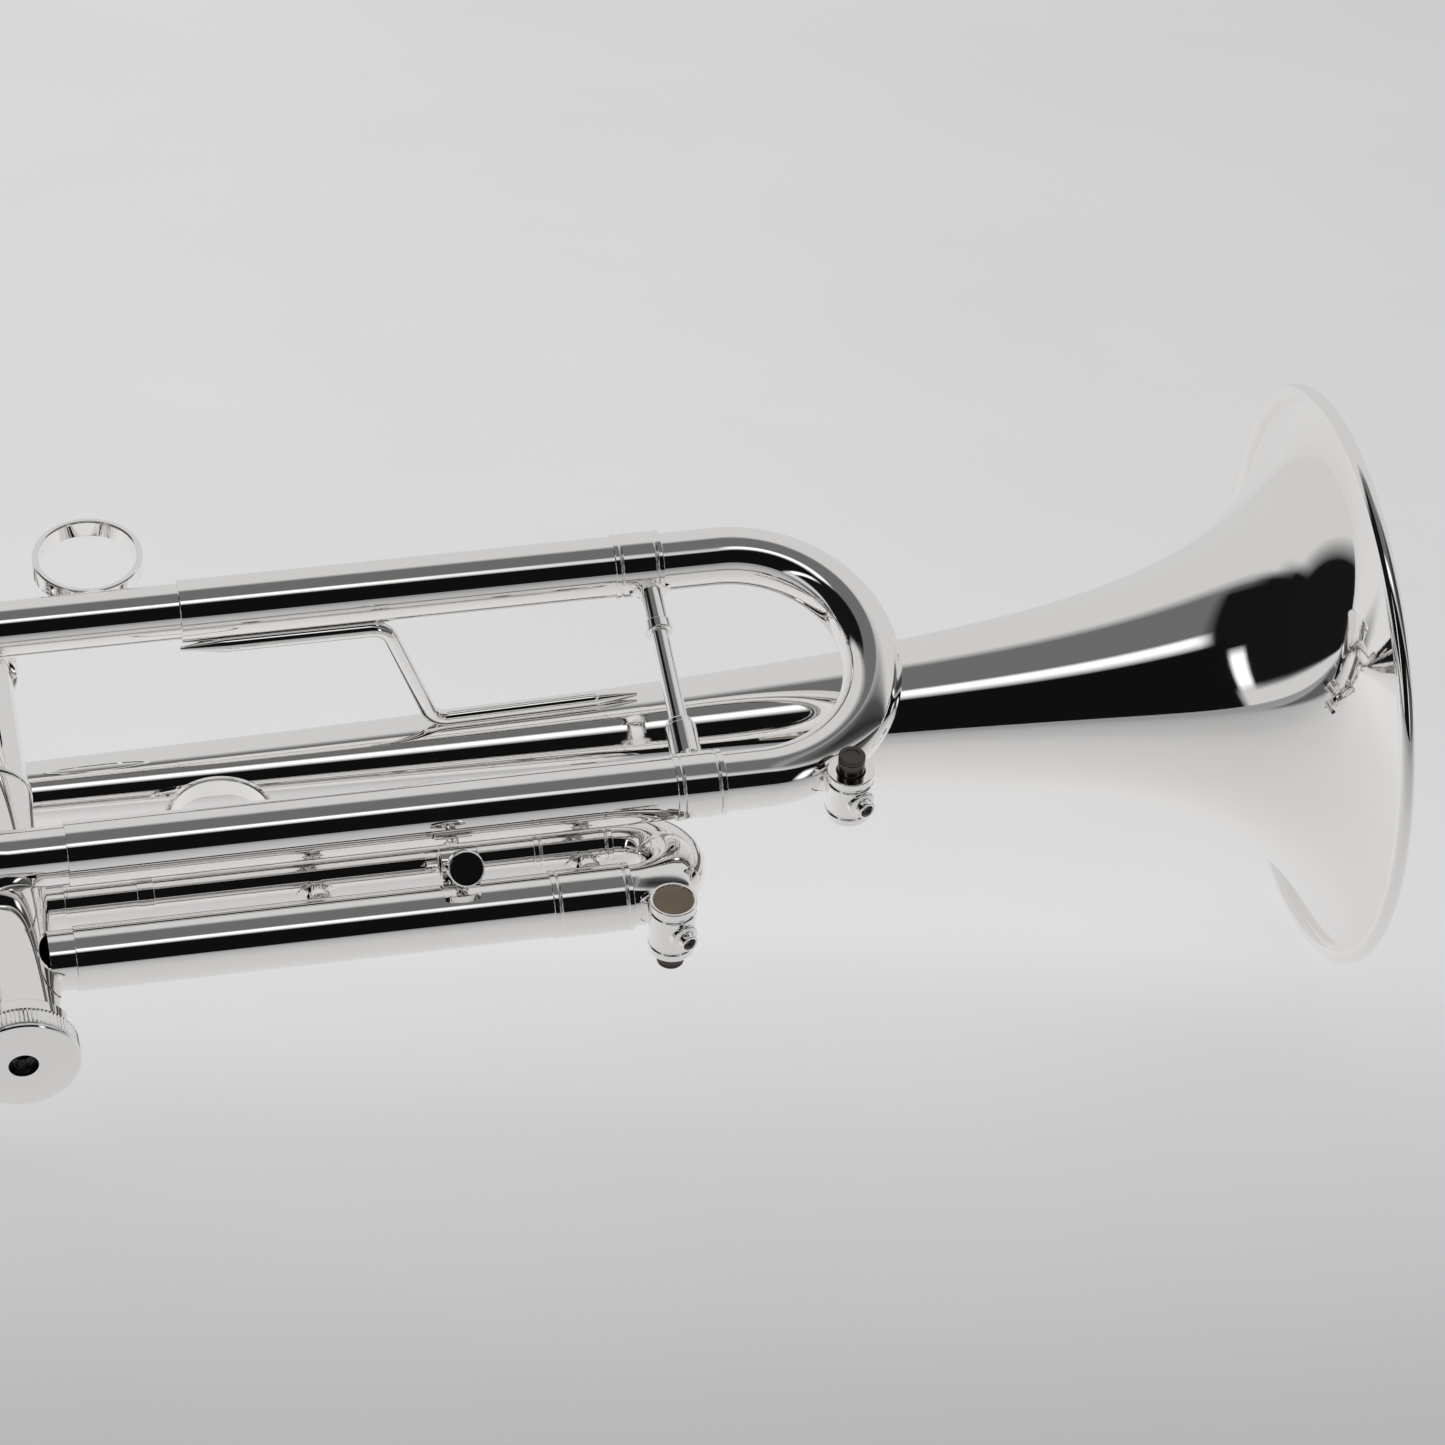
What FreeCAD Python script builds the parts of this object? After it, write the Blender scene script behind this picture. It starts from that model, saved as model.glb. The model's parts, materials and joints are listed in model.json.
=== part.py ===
import FreeCAD, Part
import math
import os
import Sketcher

# B flat piston trumpet, laid down on its left side.
#
# Every piece is first placed in the player's frame: +X towards the bell, +Y to the player's
# left, +Z up to the finger buttons, origin on the third valve's axis at its bottom cap's face.
# One rest placement then lays the whole instrument down, second slide up, so that the bell rim,
# the bell bow and a valve cap stand on z = 0.  Lengths are millimetres, angles are degrees.

Vector = FreeCAD.Vector
Placement = FreeCAD.Placement
Rotation = FreeCAD.Rotation
X_AXIS, Y_AXIS, Z_AXIS = Vector(1, 0, 0), Vector(0, 1, 0), Vector(0, 0, 1)

DIMENSIONS = """
valve_spacing 25.0
casing_outer 18.6
casing_bore 17.0
casing_bottom 3.0
casing_top 112.0
casing_ring 19.4
casing_ring_at 71.5
casing_ring_height 2.6
cap_outer 22.3
cap_knurl_height 4.6
cap_height 8.0
cap_vent 5.8
cap_floor 2.0
cap_edge 0.5
top_cap_outer 21.4
top_cap_base 107.5
top_cap_height 10.5
top_cap_neck 8.4
piston_outer 16.9
piston_wall 0.6
piston_base 20.0
piston_ported 54.0
barrel_height 34.3
barrel_slot 3.4
port_outer 12.2
valve_bore 11.5
valve_travel 16.5
guide_height 2.4
guide_key 3.0
spring_coil 11.6
spring_wire 0.9
spring_pitch 2.9
stem_outer 4.2
stem_clearance 0.1
felt_outer 11.0
felt_height 2.4
press_gap 0.3
cap_felt_height 1.6
button_outer 15.4
button_height 5.6
pearl_outer 12.4
pearl_height 1.5
tube_outer 12.8
tube_bore 12.2
slide_outer 12.1
slide_bore 11.5
ferrule_outer 13.5
ferrule_length 10.0
third_ferrule_length 16.0
sleeve_overlap 4.0
leadpipe_y -23.5
leadpipe_z 96.8
leadpipe_outer 11.6
leadpipe_bore 10.6
leadpipe_rear -176.0
receiver_rear -200.0
receiver_front -166.0
receiver_mouth 14.6
receiver_waist 13.0
receiver_nose 12.2
receiver_taper_mouth 11.0
receiver_taper_end 9.8
tuning_outer_rear 42.6
tuning_upper_end 141.3
tuning_lower_y -11.9
tuning_lower_z 43.4
tuning_lower_rear 13.4
tuning_lower_end 144.1
tuning_crook 152.6
tuning_inner 84.0
elbow_outer 11.8
elbow_radius 9.0
elbow_angle 62.0
elbow_centre 2.0
bell_y 23.0
bell_z 90.9
bell_rim_x 287.0
bell_radius 62.5
bell_throat 8.54
bell_throat_at 254.0
bell_offset 14.37
bell_exponent 0.68
bell_wall 0.6
bell_length 427.0
bell_splay 0.79
bead_radius 1.7
wire_radius 1.1
bow_outer 12.4
bow_bore 11.5
tail_y -3.5
tail_z 36.5
third_upper_y 4.4
third_upper_z 45.8
third_lower_y -2.5
third_lower_z 24.1
third_outer_rear 12.6
third_outer_end 122.0
third_crook 121.9
third_inner 82.0
stub_outer 11.9
band_at 26.8
band_length 3.4
first_y -3.0
first_upper_z 74.0
first_lower_z 52.0
first_outer_end 49.0
first_crook 62.6
first_inner 44.0
saddle_width 13.0
saddle_radius 11.0
saddle_wall 1.1
saddle_at 50.0
second_upper_z 52.0
second_lower_z 30.0
second_outer_end 24.0
second_crook 28.5
second_inner 15.0
knob_outer 8.0
knob_length 7.0
knob_neck 4.0
crossover_outer 12.0
front_crossover_z 58.0
rear_crossover_z 31.0
ring_outer 22.5
ring_wall 1.3
ring_width 4.2
pinky_ring_x 26.4
third_ring_x 46.2
ring_foot_length 8.0
brace_rod 3.4
brace_bend 4.5
brace_drop 5.0
front_brace_lead_foot 51.0
front_brace_lead_bend 84.0
front_brace_bell_bend 94.0
front_brace_bell_foot 128.0
rear_brace_lead_foot -122.0
rear_brace_lead_bend -92.0
rear_brace_bell_bend -84.0
rear_brace_bell_foot -67.0
tuning_brace_x 138.2
tuning_brace_rod 3.8
tuning_brace_socket 4.7
tuning_brace_bead 5.5
tuning_brace_foot 6.3
tuning_brace_socket_length 8.6
tuning_brace_foot_length 9.0
foot_width 7.0
foot_length 8.6
foot_wall 0.9
third_brace_x 62.0
third_brace_end_x 116.0
third_brace_rod 4.2
third_brace_bead 5.6
lyre_x 89.2
lyre_y -8.6
lyre_z 32.6
lyre_socket_outer 6.4
lyre_socket_bore 4.2
lyre_socket_length 7.6
lyre_screw_tilt 51.7
lyre_screw_head 7.2
lyre_screw_head_length 3.6
lyre_screw_thread 2.6
lyre_screw_length 9.0
key_barrel_outer 9.4
key_barrel_bore 7.0
key_plunger 6.8
key_button 5.4
key_button_bore 5.6
key_proud 4.0
key_lip 1.0
key_spring_coil 4.6
key_spring_wire 0.5
key_spring_pitch 1.1
tuning_key_x 168.7
tuning_key_y -11.9
tuning_key_z 37.3
tuning_key_length 11.4
third_key_x 128.9
third_key_y -2.5
third_key_z 15.7
third_key_length 13.0
nipple_outer 3.8
nipple_bore 2.6
nipple_length 2.2
rest_pitch -7.796
rest_roll 17.945
rest_x -42.41
rest_y -76.39
rest_z 17.25
"""

doc = FreeCAD.newDocument("Trumpet")
dims = doc.addObject("Spreadsheet::Sheet", "Dims")
for row, line in enumerate(DIMENSIONS.split("\n")[1:-1], start=1):
    alias, amount = line.split()
    dims.set("A%d" % row, alias)
    dims.set("B%d" % row, amount)
    dims.setAlias("B%d" % row, alias)
doc.recompute()

nodes = []


def size(alias):
    """A driving dimension from the sheet."""
    return float(dims.get(alias))


def amount(expression):
    """The value of an expression on the sheet's aliases, such as 'Dims.cap_outer / 2'."""
    return float(dims.evalExpression(expression))


def turn(axis, angle):
    return Placement(Vector(0, 0, 0), Rotation(axis, angle))


def at(x, y, z):
    return Placement(Vector(x, y, z), Rotation())


def axis_frame(origin, direction):
    """A placement whose local +Z looks along direction."""
    return Placement(origin, Rotation(Z_AXIS, direction))


REST = Placement(
    Vector(size("rest_x"), size("rest_y"), size("rest_z")),
    Rotation(Y_AXIS, size("rest_pitch")) * Rotation(X_AXIS, size("rest_roll") - 90))


def node(obj, label, frame=Placement()):
    """Names an object as a sub-part, at its place in the laid-down instrument."""
    obj.Label = label
    obj.Placement = REST * frame
    nodes.append(obj)
    return obj


# ---------------------------------------------------------------- building blocks

def bind(obj, **sizes):
    for prop, expression in sizes.items():
        obj.setExpression(prop, expression)
    return obj


def rod(name, diameter, length, frame=Placement()):
    """A round bar along its frame's +Z."""
    bar = doc.addObject("Part::Cylinder", name)
    bind(bar, Radius="(%s) / 2" % diameter, Height=length)
    bar.Placement = frame
    return bar


def block(name, length, width, height, frame=Placement()):
    """A box centred on its frame in X and Y, rising along Z."""
    box = doc.addObject("Part::Box", name)
    bind(box, Length=length, Width=width, Height=height)
    corner = Vector(-amount(length) / 2, -amount(width) / 2, 0)
    box.Placement = frame * Placement(corner, Rotation())
    return box


def cone(name, bottom, top, height, frame=Placement()):
    """A round taper along its frame's +Z, given by its two diameters."""
    taper = doc.addObject("Part::Cone", name)
    bind(taper, Radius1="(%s) / 2" % bottom, Radius2="(%s) / 2" % top, Height=height)
    taper.Placement = frame
    return taper


def ring(name, radius, diameter, angle="360", frame=Placement()):
    """A bent round bar in its frame's XY plane, starting on +X."""
    torus = doc.addObject("Part::Torus", name)
    bind(torus, Radius1=radius, Radius2="(%s) / 2" % diameter, Angle3=angle)
    torus.Placement = frame
    return torus


def fuse(name, shapes):
    if len(shapes) == 1:
        return shapes[0]
    joined = doc.addObject("Part::MultiFuse", name)
    joined.Shapes = shapes
    return joined


def cut(name, base, tools):
    result = doc.addObject("Part::Cut", name)
    result.Base = base
    result.Tool = fuse(name + "_tools", tools)
    return result


def group(name, shapes):
    """Separate solids kept together in one sub-part."""
    compound = doc.addObject("Part::Compound", name)
    compound.Links = shapes
    return compound


def origin_plane(body, role):
    return [plane for plane in body.Origin.OriginFeatures if plane.Role == role][0]


def flat_sketch(body, name, role):
    sketch = body.newObject("Sketcher::SketchObject", name)
    sketch.AttachmentSupport = [(origin_plane(body, role), "")]
    sketch.MapMode = "FlatFace"
    return sketch


def outline(sketch, corners):
    """A closed run of straight lines through corners, each a pair of sheet expressions."""
    points = [Vector(amount(across), amount(up), 0) for across, up in corners]
    count = len(points)
    for index in range(count):
        sketch.addGeometry(Part.LineSegment(points[index], points[(index + 1) % count]), False)
    for index in range(count):
        sketch.addConstraint(Sketcher.Constraint("Coincident", index, 2, (index + 1) % count, 1))
    for index, (across, up) in enumerate(corners):
        for kind, expression, start in (("DistanceX", across, points[index].x),
                                        ("DistanceY", up, points[index].y)):
            constraint = sketch.addConstraint(Sketcher.Constraint(kind, -1, 1, index, 1, start))
            sketch.setExpression("Constraints[%d]" % constraint, expression)


def turned(name, corners):
    """A body turned about its own Z axis from an outline of (radius, height) pairs."""
    body = doc.addObject("PartDesign::Body", name)
    sketch = flat_sketch(body, name + "_profile", "XZ_Plane")
    outline(sketch, corners)
    revolution = body.newObject("PartDesign::Revolution", name + "_turned")
    revolution.Profile = sketch
    revolution.ReferenceAxis = (sketch, ["V_Axis"])
    revolution.Angle = 360
    return body


def coil(name, coil_diameter, wire_diameter, pitch, height):
    """A round-wire compression spring that climbs along its own Z axis."""
    body = doc.addObject("PartDesign::Body", name)
    sketch = flat_sketch(body, name + "_wire", "XZ_Plane")
    centre = Vector(amount(coil_diameter) / 2, amount(wire_diameter) / 2, 0)
    sketch.addGeometry(Part.Circle(centre, Z_AXIS, amount(wire_diameter) / 2), False)
    for kind, position, expression in (
            ("DistanceX", centre.x, "(%s) / 2" % coil_diameter),
            ("DistanceY", centre.y, "(%s) / 2" % wire_diameter)):
        place = sketch.addConstraint(Sketcher.Constraint(kind, -1, 1, 0, 3, position))
        sketch.setExpression("Constraints[%d]" % place, expression)
    radius = sketch.addConstraint(Sketcher.Constraint("Radius", 0, amount(wire_diameter) / 2))
    sketch.setExpression("Constraints[%d]" % radius, "(%s) / 2" % wire_diameter)
    helix = body.newObject("PartDesign::AdditiveHelix", name + "_helix")
    helix.Profile = sketch
    helix.ReferenceAxis = (sketch, ["V_Axis"])
    helix.Mode = 0
    bind(helix, Pitch=pitch, Height="(%s) - (%s)" % (height, wire_diameter))
    return body


# ---------------------------------------------------------------- places of the tubes

def valve_x(number):
    """The third valve stands on the origin, the others behind it."""
    return -(3 - number) * size("valve_spacing")


def slide_frame(lower, upper, pull):
    """Frame of a U-shaped slide at its crook's centre: X is the way it pulls, Y runs across."""
    across = upper - lower
    across.normalize()
    normal = pull.cross(across)
    return Placement((lower + upper) * 0.5, Rotation(pull, across, normal, "XYZ"))


TUNING_LOWER = Vector(size("tuning_crook"), size("tuning_lower_y"), size("tuning_lower_z"))
TUNING_UPPER = Vector(size("tuning_crook"), size("leadpipe_y"), size("leadpipe_z"))
THIRD_LOWER = Vector(size("third_crook"), size("third_lower_y"), size("third_lower_z"))
THIRD_UPPER = Vector(size("third_crook"), size("third_upper_y"), size("third_upper_z"))
FIRST_X = valve_x(1) - size("first_crook")
FIRST_LOWER = Vector(FIRST_X, size("first_y"), size("first_lower_z"))
FIRST_UPPER = Vector(FIRST_X, size("first_y"), size("first_upper_z"))
SECOND_LOWER = Vector(valve_x(2), -size("second_crook"), size("second_lower_z"))
SECOND_UPPER = Vector(valve_x(2), -size("second_crook"), size("second_upper_z"))

TUNING_FRAME = slide_frame(TUNING_LOWER, TUNING_UPPER, X_AXIS)
THIRD_FRAME = slide_frame(THIRD_LOWER, THIRD_UPPER, X_AXIS)
FIRST_FRAME = slide_frame(FIRST_LOWER, FIRST_UPPER, -X_AXIS)
SECOND_FRAME = slide_frame(SECOND_LOWER, SECOND_UPPER, -Y_AXIS)

# The bell's own frame: origin in the rim's plane, +X forwards, +Z up, splayed a little outwards.
BELL_FRAME = Placement(Vector(size("bell_rim_x"), size("bell_y"), size("bell_z")),
                       Rotation(Z_AXIS, size("bell_splay")))
BOW_X = size("bell_rim_x") - size("bell_length") - size("ferrule_length")
ALONG_X = Rotation(Z_AXIS, X_AXIS)
BACK_X = Rotation(Z_AXIS, -X_AXIS)


def along_x(x, y, z):
    return Placement(Vector(x, y, z), ALONG_X)


def casing_envelope(name, number):
    """The outside of one valve casing, which every joining tube is fitted to."""
    axis = at(valve_x(number), 0, 0)
    band = axis * at(0, 0, size("casing_ring_at"))
    return [rod(name + "_wall", "Dims.casing_outer", "Dims.casing_top", axis),
            rod(name + "_band", "Dims.casing_ring", "Dims.casing_ring_height", band)]


# ---------------------------------------------------------------- valves

def port_places(number):
    """Bores in a casing's wall: start on the valve's axis, and the way each tube leaves."""
    x = valve_x(number)
    if number == 1:
        splay = math.tan(math.radians(size("bell_splay")))
        tail_at_casing = size("tail_y") + (valve_x(1) - BOW_X) * splay
        return [(Vector(x, size("first_y"), size("first_upper_z")), -X_AXIS),
                (Vector(x, size("first_y"), size("first_lower_z")), -X_AXIS),
                (Vector(x, tail_at_casing, size("tail_z")), -X_AXIS),
                (Vector(x, 0, size("rear_crossover_z")), X_AXIS)]
    if number == 2:
        return [(Vector(x, 0, size("second_upper_z")), -Y_AXIS),
                (Vector(x, 0, size("second_lower_z")), -Y_AXIS),
                (Vector(x, 0, size("rear_crossover_z")), -X_AXIS),
                (Vector(x, 0, size("front_crossover_z")), X_AXIS)]
    return [(Vector(x, size("third_upper_y"), size("third_upper_z")), X_AXIS),
            (Vector(x, size("third_lower_y"), size("third_lower_z")), X_AXIS),
            (Vector(x, 0, size("front_crossover_z")), -X_AXIS),
            (Vector(x, 0, size("tuning_lower_z")), Vector(-0.5, -0.8, 0))]


def valve_casing(number):
    outer, bore = "Dims.casing_outer / 2", "Dims.casing_bore / 2"
    band, base = "Dims.casing_ring / 2", "Dims.casing_ring_at"
    top = base + " + Dims.casing_ring_height"
    body = turned("casing_body_%d" % number, [
        (bore, "Dims.casing_bottom"), (outer, "Dims.casing_bottom"), (outer, base),
        (band, base + " + 0.6"), (band, top + " - 0.6"), (outer, top),
        (outer, "Dims.casing_top"), (bore, "Dims.casing_top")])
    body.Placement = at(valve_x(number), 0, 0)
    bores = [rod("casing_%d_port_%d" % (number, index), "Dims.valve_bore - 2", "Dims.casing_outer",
                 axis_frame(start, way))
             for index, (start, way) in enumerate(port_places(number))]
    return node(cut("casing_cut_%d" % number, body, bores), "valve_casing_%d" % number)


def bottom_cap(number):
    rim, edge = "Dims.cap_outer / 2", "Dims.cap_edge"
    fit, vent = "Dims.casing_outer / 2", "Dims.cap_vent / 2"
    knurl = "Dims.cap_knurl_height"
    body = turned("bottom_cap_%d" % number, [
        (vent, "0"), (rim + " - " + edge, "0"), (rim, edge), (rim, knurl),
        (rim + " - 0.4", knurl + " + 0.4"), (rim + " - 0.4", "Dims.cap_height - 0.6"),
        (rim + " - 1.0", "Dims.cap_height"), (fit, "Dims.cap_height"),
        (fit, "Dims.casing_bottom"), (fit + " - 1.6", "Dims.casing_bottom"),
        (fit + " - 1.6", "Dims.cap_floor"), (vent, "Dims.cap_floor")])
    body.Placement = at(valve_x(number), 0, 0)
    return body


def top_cap(number):
    rim, fit = "Dims.top_cap_outer / 2", "Dims.casing_outer / 2"
    base, top = "Dims.top_cap_base", "Dims.top_cap_base + Dims.top_cap_height"
    hole = "Dims.stem_outer / 2 + Dims.stem_clearance"
    body = turned("top_cap_%d" % number, [
        (fit, base), (rim, base), (rim, base + " + 4.6"), (rim + " - 0.6", base + " + 5.2"),
        (rim + " - 1.4", base + " + 6.6"), ("Dims.top_cap_neck / 2 + 1", top + " - 1.6"),
        ("Dims.top_cap_neck / 2", top + " - 1"), ("Dims.top_cap_neck / 2", top), (hole, top),
        (hole, "Dims.casing_top + 1.8"), ("Dims.casing_bore / 2 - 1.5", "Dims.casing_top + 0.6"),
        ("Dims.casing_bore / 2 - 1.5", "Dims.casing_top"), (fit, "Dims.casing_top")])
    body.Placement = at(valve_x(number), 0, 0)
    return body


def cap_felt(number):
    """A soft washer under the top cap, which the rising piston stops against."""
    inner, outer = "Dims.stem_outer / 2 + 0.6", "Dims.casing_bore / 2 - 1.6"
    base, top = "Dims.casing_top - Dims.cap_felt_height", "Dims.casing_top + 0.5"
    body = turned("cap_felt_%d" % number, [
        (inner, base), (outer, base), (outer, top), (inner, top)])
    body.Placement = at(valve_x(number), 0, 0)
    return body


VENT = "Dims.cap_vent / 2"
BARREL_BASE = "Dims.piston_base + Dims.piston_ported"
BARREL_TOP = BARREL_BASE + " + Dims.barrel_height"
GUIDE_BASE = BARREL_BASE + " + 1"


def piston(number):
    """A drawn shell with port tubes across it, and the slotted spring barrel on top."""
    outer, inner = "Dims.piston_outer / 2", "Dims.piston_outer / 2 - Dims.piston_wall"
    axis = at(valve_x(number), 0, 0)
    shell = turned("piston_shell_%d" % number, [
        (VENT, "Dims.piston_base"), (outer, "Dims.piston_base"), (outer, BARREL_TOP),
        ("Dims.stem_outer / 2", BARREL_TOP), ("Dims.stem_outer / 2", BARREL_TOP + " - 1.5"),
        (inner, BARREL_TOP + " - 1.5"), (inner, BARREL_BASE), ("0", BARREL_BASE),
        ("0", "Dims.piston_base + 1.2"), (VENT, "Dims.piston_base + 1.2")])
    shell.Placement = axis
    hollow = turned("piston_hollow_%d" % number, [
        ("0", "Dims.piston_base + 1.2"), (inner, "Dims.piston_base + 1.2"),
        (inner, BARREL_BASE + " - 1.2"), ("0", BARREL_BASE + " - 1.2")])
    hollow.Placement = axis
    tools, port_walls = [], []
    heights = ("rear_crossover_z", "tuning_lower_z", "front_crossover_z")
    for index, height in enumerate(heights):
        heading = Vector(math.cos(index * math.pi / 3), math.sin(index * math.pi / 3), 0)
        start = axis.Base + Z_AXIS * size(height) - heading * size("piston_outer")
        across = axis_frame(start, heading)
        port = "piston_%d_port_%d" % (number, index)
        tools.append(rod(port, "Dims.valve_bore - 1", "2 * Dims.piston_outer", across))
        port_walls.append(rod(port + "_wall", "Dims.port_outer", "2 * Dims.piston_outer", across))
    slot_height = "Dims.valve_travel + Dims.guide_height + 1.4"
    slot_base = axis * at(0, 0, amount(GUIDE_BASE) - 0.4)
    tools.append(block("piston_%d_slot" % number, "2 * Dims.piston_outer", "Dims.barrel_slot",
                       slot_height, slot_base))
    tools.append(cut("piston_%d_space" % number, hollow, port_walls))
    return node(cut("piston_cut_%d" % number, shell, tools), "piston_%d" % number)


def valve_guide(number):
    """The keyed disc fixed in the casing, which the spring stands on."""
    inner, outer = "Dims.stem_outer / 2 + 0.6", "Dims.piston_outer / 2 - Dims.piston_wall - 0.3"
    axis = at(valve_x(number), 0, 0)
    disc = turned("guide_disc_%d" % number, [
        (inner, GUIDE_BASE), (outer, GUIDE_BASE),
        (outer, GUIDE_BASE + " + Dims.guide_height"), (inner, GUIDE_BASE + " + Dims.guide_height")])
    disc.Placement = axis
    seat = axis * at(0, 0, amount(GUIDE_BASE))
    bar = doc.addObject("Part::Common", "guide_bar_%d" % number)
    bar.Base = block("guide_key_%d" % number, "Dims.casing_bore", "Dims.guide_key",
                     "Dims.guide_height", seat)
    bar.Tool = rod("guide_reach_%d" % number, "Dims.casing_bore", "Dims.guide_height", seat)
    hole = rod("guide_hole_%d" % number, "Dims.stem_outer + 1.2", "Dims.guide_height", seat)
    keyed = fuse("guide_keyed_%d" % number, [disc, bar])
    return node(cut("guide_cut_%d" % number, keyed, [hole]), "valve_guide_%d" % number)


def valve_spring(number):
    base = amount(GUIDE_BASE + " + Dims.guide_height") + 0.1
    height = "Dims.barrel_height - 1.5 - 1 - Dims.guide_height - 0.3"
    spring = coil("spring_coil_%d" % number, "Dims.spring_coil", "Dims.spring_wire",
                  "Dims.spring_pitch", height)
    return node(spring, "valve_spring_%d" % number, at(valve_x(number), 0, base))


FELT_BASE = "Dims.top_cap_base + Dims.top_cap_height + Dims.valve_travel + Dims.press_gap"
BUTTON_BASE = FELT_BASE + " + Dims.felt_height"


def valve_stem(number):
    """The threaded stem from the spring barrel's top up into the finger button."""
    thin, collar = "Dims.stem_outer / 2", "Dims.stem_outer / 2 + 1.6"
    stem = turned("stem_%d" % number, [
        ("0", BARREL_TOP + " - 1.5"), (thin, BARREL_TOP + " - 1.5"), (thin, BARREL_TOP),
        (collar, BARREL_TOP), (collar, BARREL_TOP + " + 1.2"), (thin, BARREL_TOP + " + 1.8"),
        (thin, BUTTON_BASE + " + 2.6"), ("0", BUTTON_BASE + " + 2.6")])
    return node(stem, "valve_stem_%d" % number, at(valve_x(number), 0, 0))


def stem_felt(number):
    hole, rim = "Dims.stem_outer / 2", "Dims.felt_outer / 2"
    felt = turned("stem_felt_body_%d" % number, [
        (hole, FELT_BASE), (rim + " - 0.4", FELT_BASE), (rim, FELT_BASE + " + 0.4"),
        (rim, BUTTON_BASE + " - 0.4"), (rim + " - 0.4", BUTTON_BASE), (hole, BUTTON_BASE)])
    return node(felt, "stem_felt_%d" % number, at(valve_x(number), 0, 0))


def finger_button(number):
    rim, top = "Dims.button_outer / 2", BUTTON_BASE + " + Dims.button_height"
    seat = "Dims.pearl_outer / 2"
    button = turned("button_%d" % number, [
        ("Dims.stem_outer / 2", BUTTON_BASE), ("Dims.felt_outer / 2", BUTTON_BASE),
        ("Dims.felt_outer / 2 + 0.3", BUTTON_BASE + " + 1.4"), (rim + " - 0.5", top + " - 2.6"),
        (rim, top + " - 1.6"), (rim, top + " - 0.5"), (rim + " - 0.5", top), (seat, top),
        (seat, top + " - Dims.pearl_height"), ("0", top + " - Dims.pearl_height"),
        ("0", BUTTON_BASE + " + 2.6"), ("Dims.stem_outer / 2", BUTTON_BASE + " + 2.6")])
    return node(button, "finger_button_%d" % number, at(valve_x(number), 0, 0))


def pearl_inlay(number):
    seat, top = "Dims.pearl_outer / 2", BUTTON_BASE + " + Dims.button_height"
    pearl = turned("pearl_%d" % number, [
        ("0", top + " - Dims.pearl_height"), (seat, top + " - Dims.pearl_height"), (seat, top),
        (seat + " - 1.2", top + " - 0.35"), ("0", top + " - 0.7")])
    return node(pearl, "pearl_inlay_%d" % number, at(valve_x(number), 0, 0))


def crossover_tubes():
    """Short tubes that carry the air from one casing to the next."""
    stubs = []
    for front, height in ((3, "front_crossover_z"), (2, "rear_crossover_z")):
        start = along_x(valve_x(front) - size("valve_spacing"), 0, size(height))
        name = "crossover_%d" % front
        tube = rod(name, "Dims.crossover_outer", "Dims.valve_spacing", start)
        tools = [rod(name + "_bore", "Dims.valve_bore - 2", "Dims.valve_spacing", start)]
        tools += casing_envelope(name + "_ahead", front)
        tools += casing_envelope(name + "_behind", front - 1)
        stubs.append(cut(name + "_cut", tube, tools))
    return node(group("crossovers", stubs), "crossover_tubes")


for valve in (1, 2, 3):
    valve_casing(valve)
    piston(valve)
    valve_guide(valve)
    valve_spring(valve)
    valve_stem(valve)
    stem_felt(valve)
    finger_button(valve)
    pearl_inlay(valve)
node(group("bottom_cap_group", [bottom_cap(valve) for valve in (1, 2, 3)]), "bottom_caps")
node(group("top_cap_group", [top_cap(valve) for valve in (1, 2, 3)]), "top_caps")
node(group("cap_felt_group", [cap_felt(valve) for valve in (1, 2, 3)]), "cap_felts")
crossover_tubes()


# ---------------------------------------------------------------- bell

def bell_radius_at(behind):
    """The horn's outer radius a given way behind the rim: a power law, as in a Bessel horn."""
    reach = (size("bell_throat_at") + size("bell_offset")) / (behind + size("bell_offset"))
    return size("bell_throat") * reach ** size("bell_exponent")


def flare_start():
    """How far behind the rim's plane the horn is as wide as the bead's centre."""
    centre = size("bell_radius") - size("bead_radius")
    widening = (centre / size("bell_throat")) ** (1 / size("bell_exponent"))
    return (size("bell_throat_at") + size("bell_offset")) / widening - size("bell_offset")


def bell():
    """The horn from its tail joint to the rim, with its edge rolled over a wire."""
    steps, crowding = 22, 2.2
    begin, end = flare_start(), size("bell_length")
    stations = [begin + (end - begin) * (step / steps) ** crowding for step in range(steps + 1)]
    wall = size("bell_wall")
    outer = [Vector(-s, 0, bell_radius_at(s)) for s in stations]
    horn_outer = Part.BSplineCurve()
    horn_outer.interpolate(outer)
    inner = []
    for s, point in zip(stations, outer):
        tangent = horn_outer.tangent(horn_outer.parameter(point))[0]
        normal = Vector(-tangent.z, 0, tangent.x)
        if normal.z > 0:
            normal = -normal
        inner.append(point + normal * wall)
    horn_inner = Part.BSplineCurve()
    horn_inner.interpolate(inner)
    edges = [horn_outer.toShape(), Part.LineSegment(outer[-1], inner[-1]).toShape(),
             horn_inner.toShape(), Part.LineSegment(inner[0], outer[0]).toShape()]
    profile = Part.Face(Part.Wire(Part.__sortEdges__(edges)))
    horn = profile.revolve(Vector(0, 0, 0), X_AXIS, 360)
    bead_centre = Vector(-size("bead_radius"), 0, 0)
    bead_ring = size("bell_radius") - size("bead_radius")
    bead = Part.makeTorus(bead_ring, size("bead_radius"), bead_centre, X_AXIS)
    core = Part.makeTorus(bead_ring, size("wire_radius"), bead_centre, X_AXIS)
    feature = doc.addObject("Part::Feature", "bell_horn")
    feature.Shape = horn.fuse(bead).cut(core).removeSplitter()
    return node(feature, "bell", BELL_FRAME)


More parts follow.
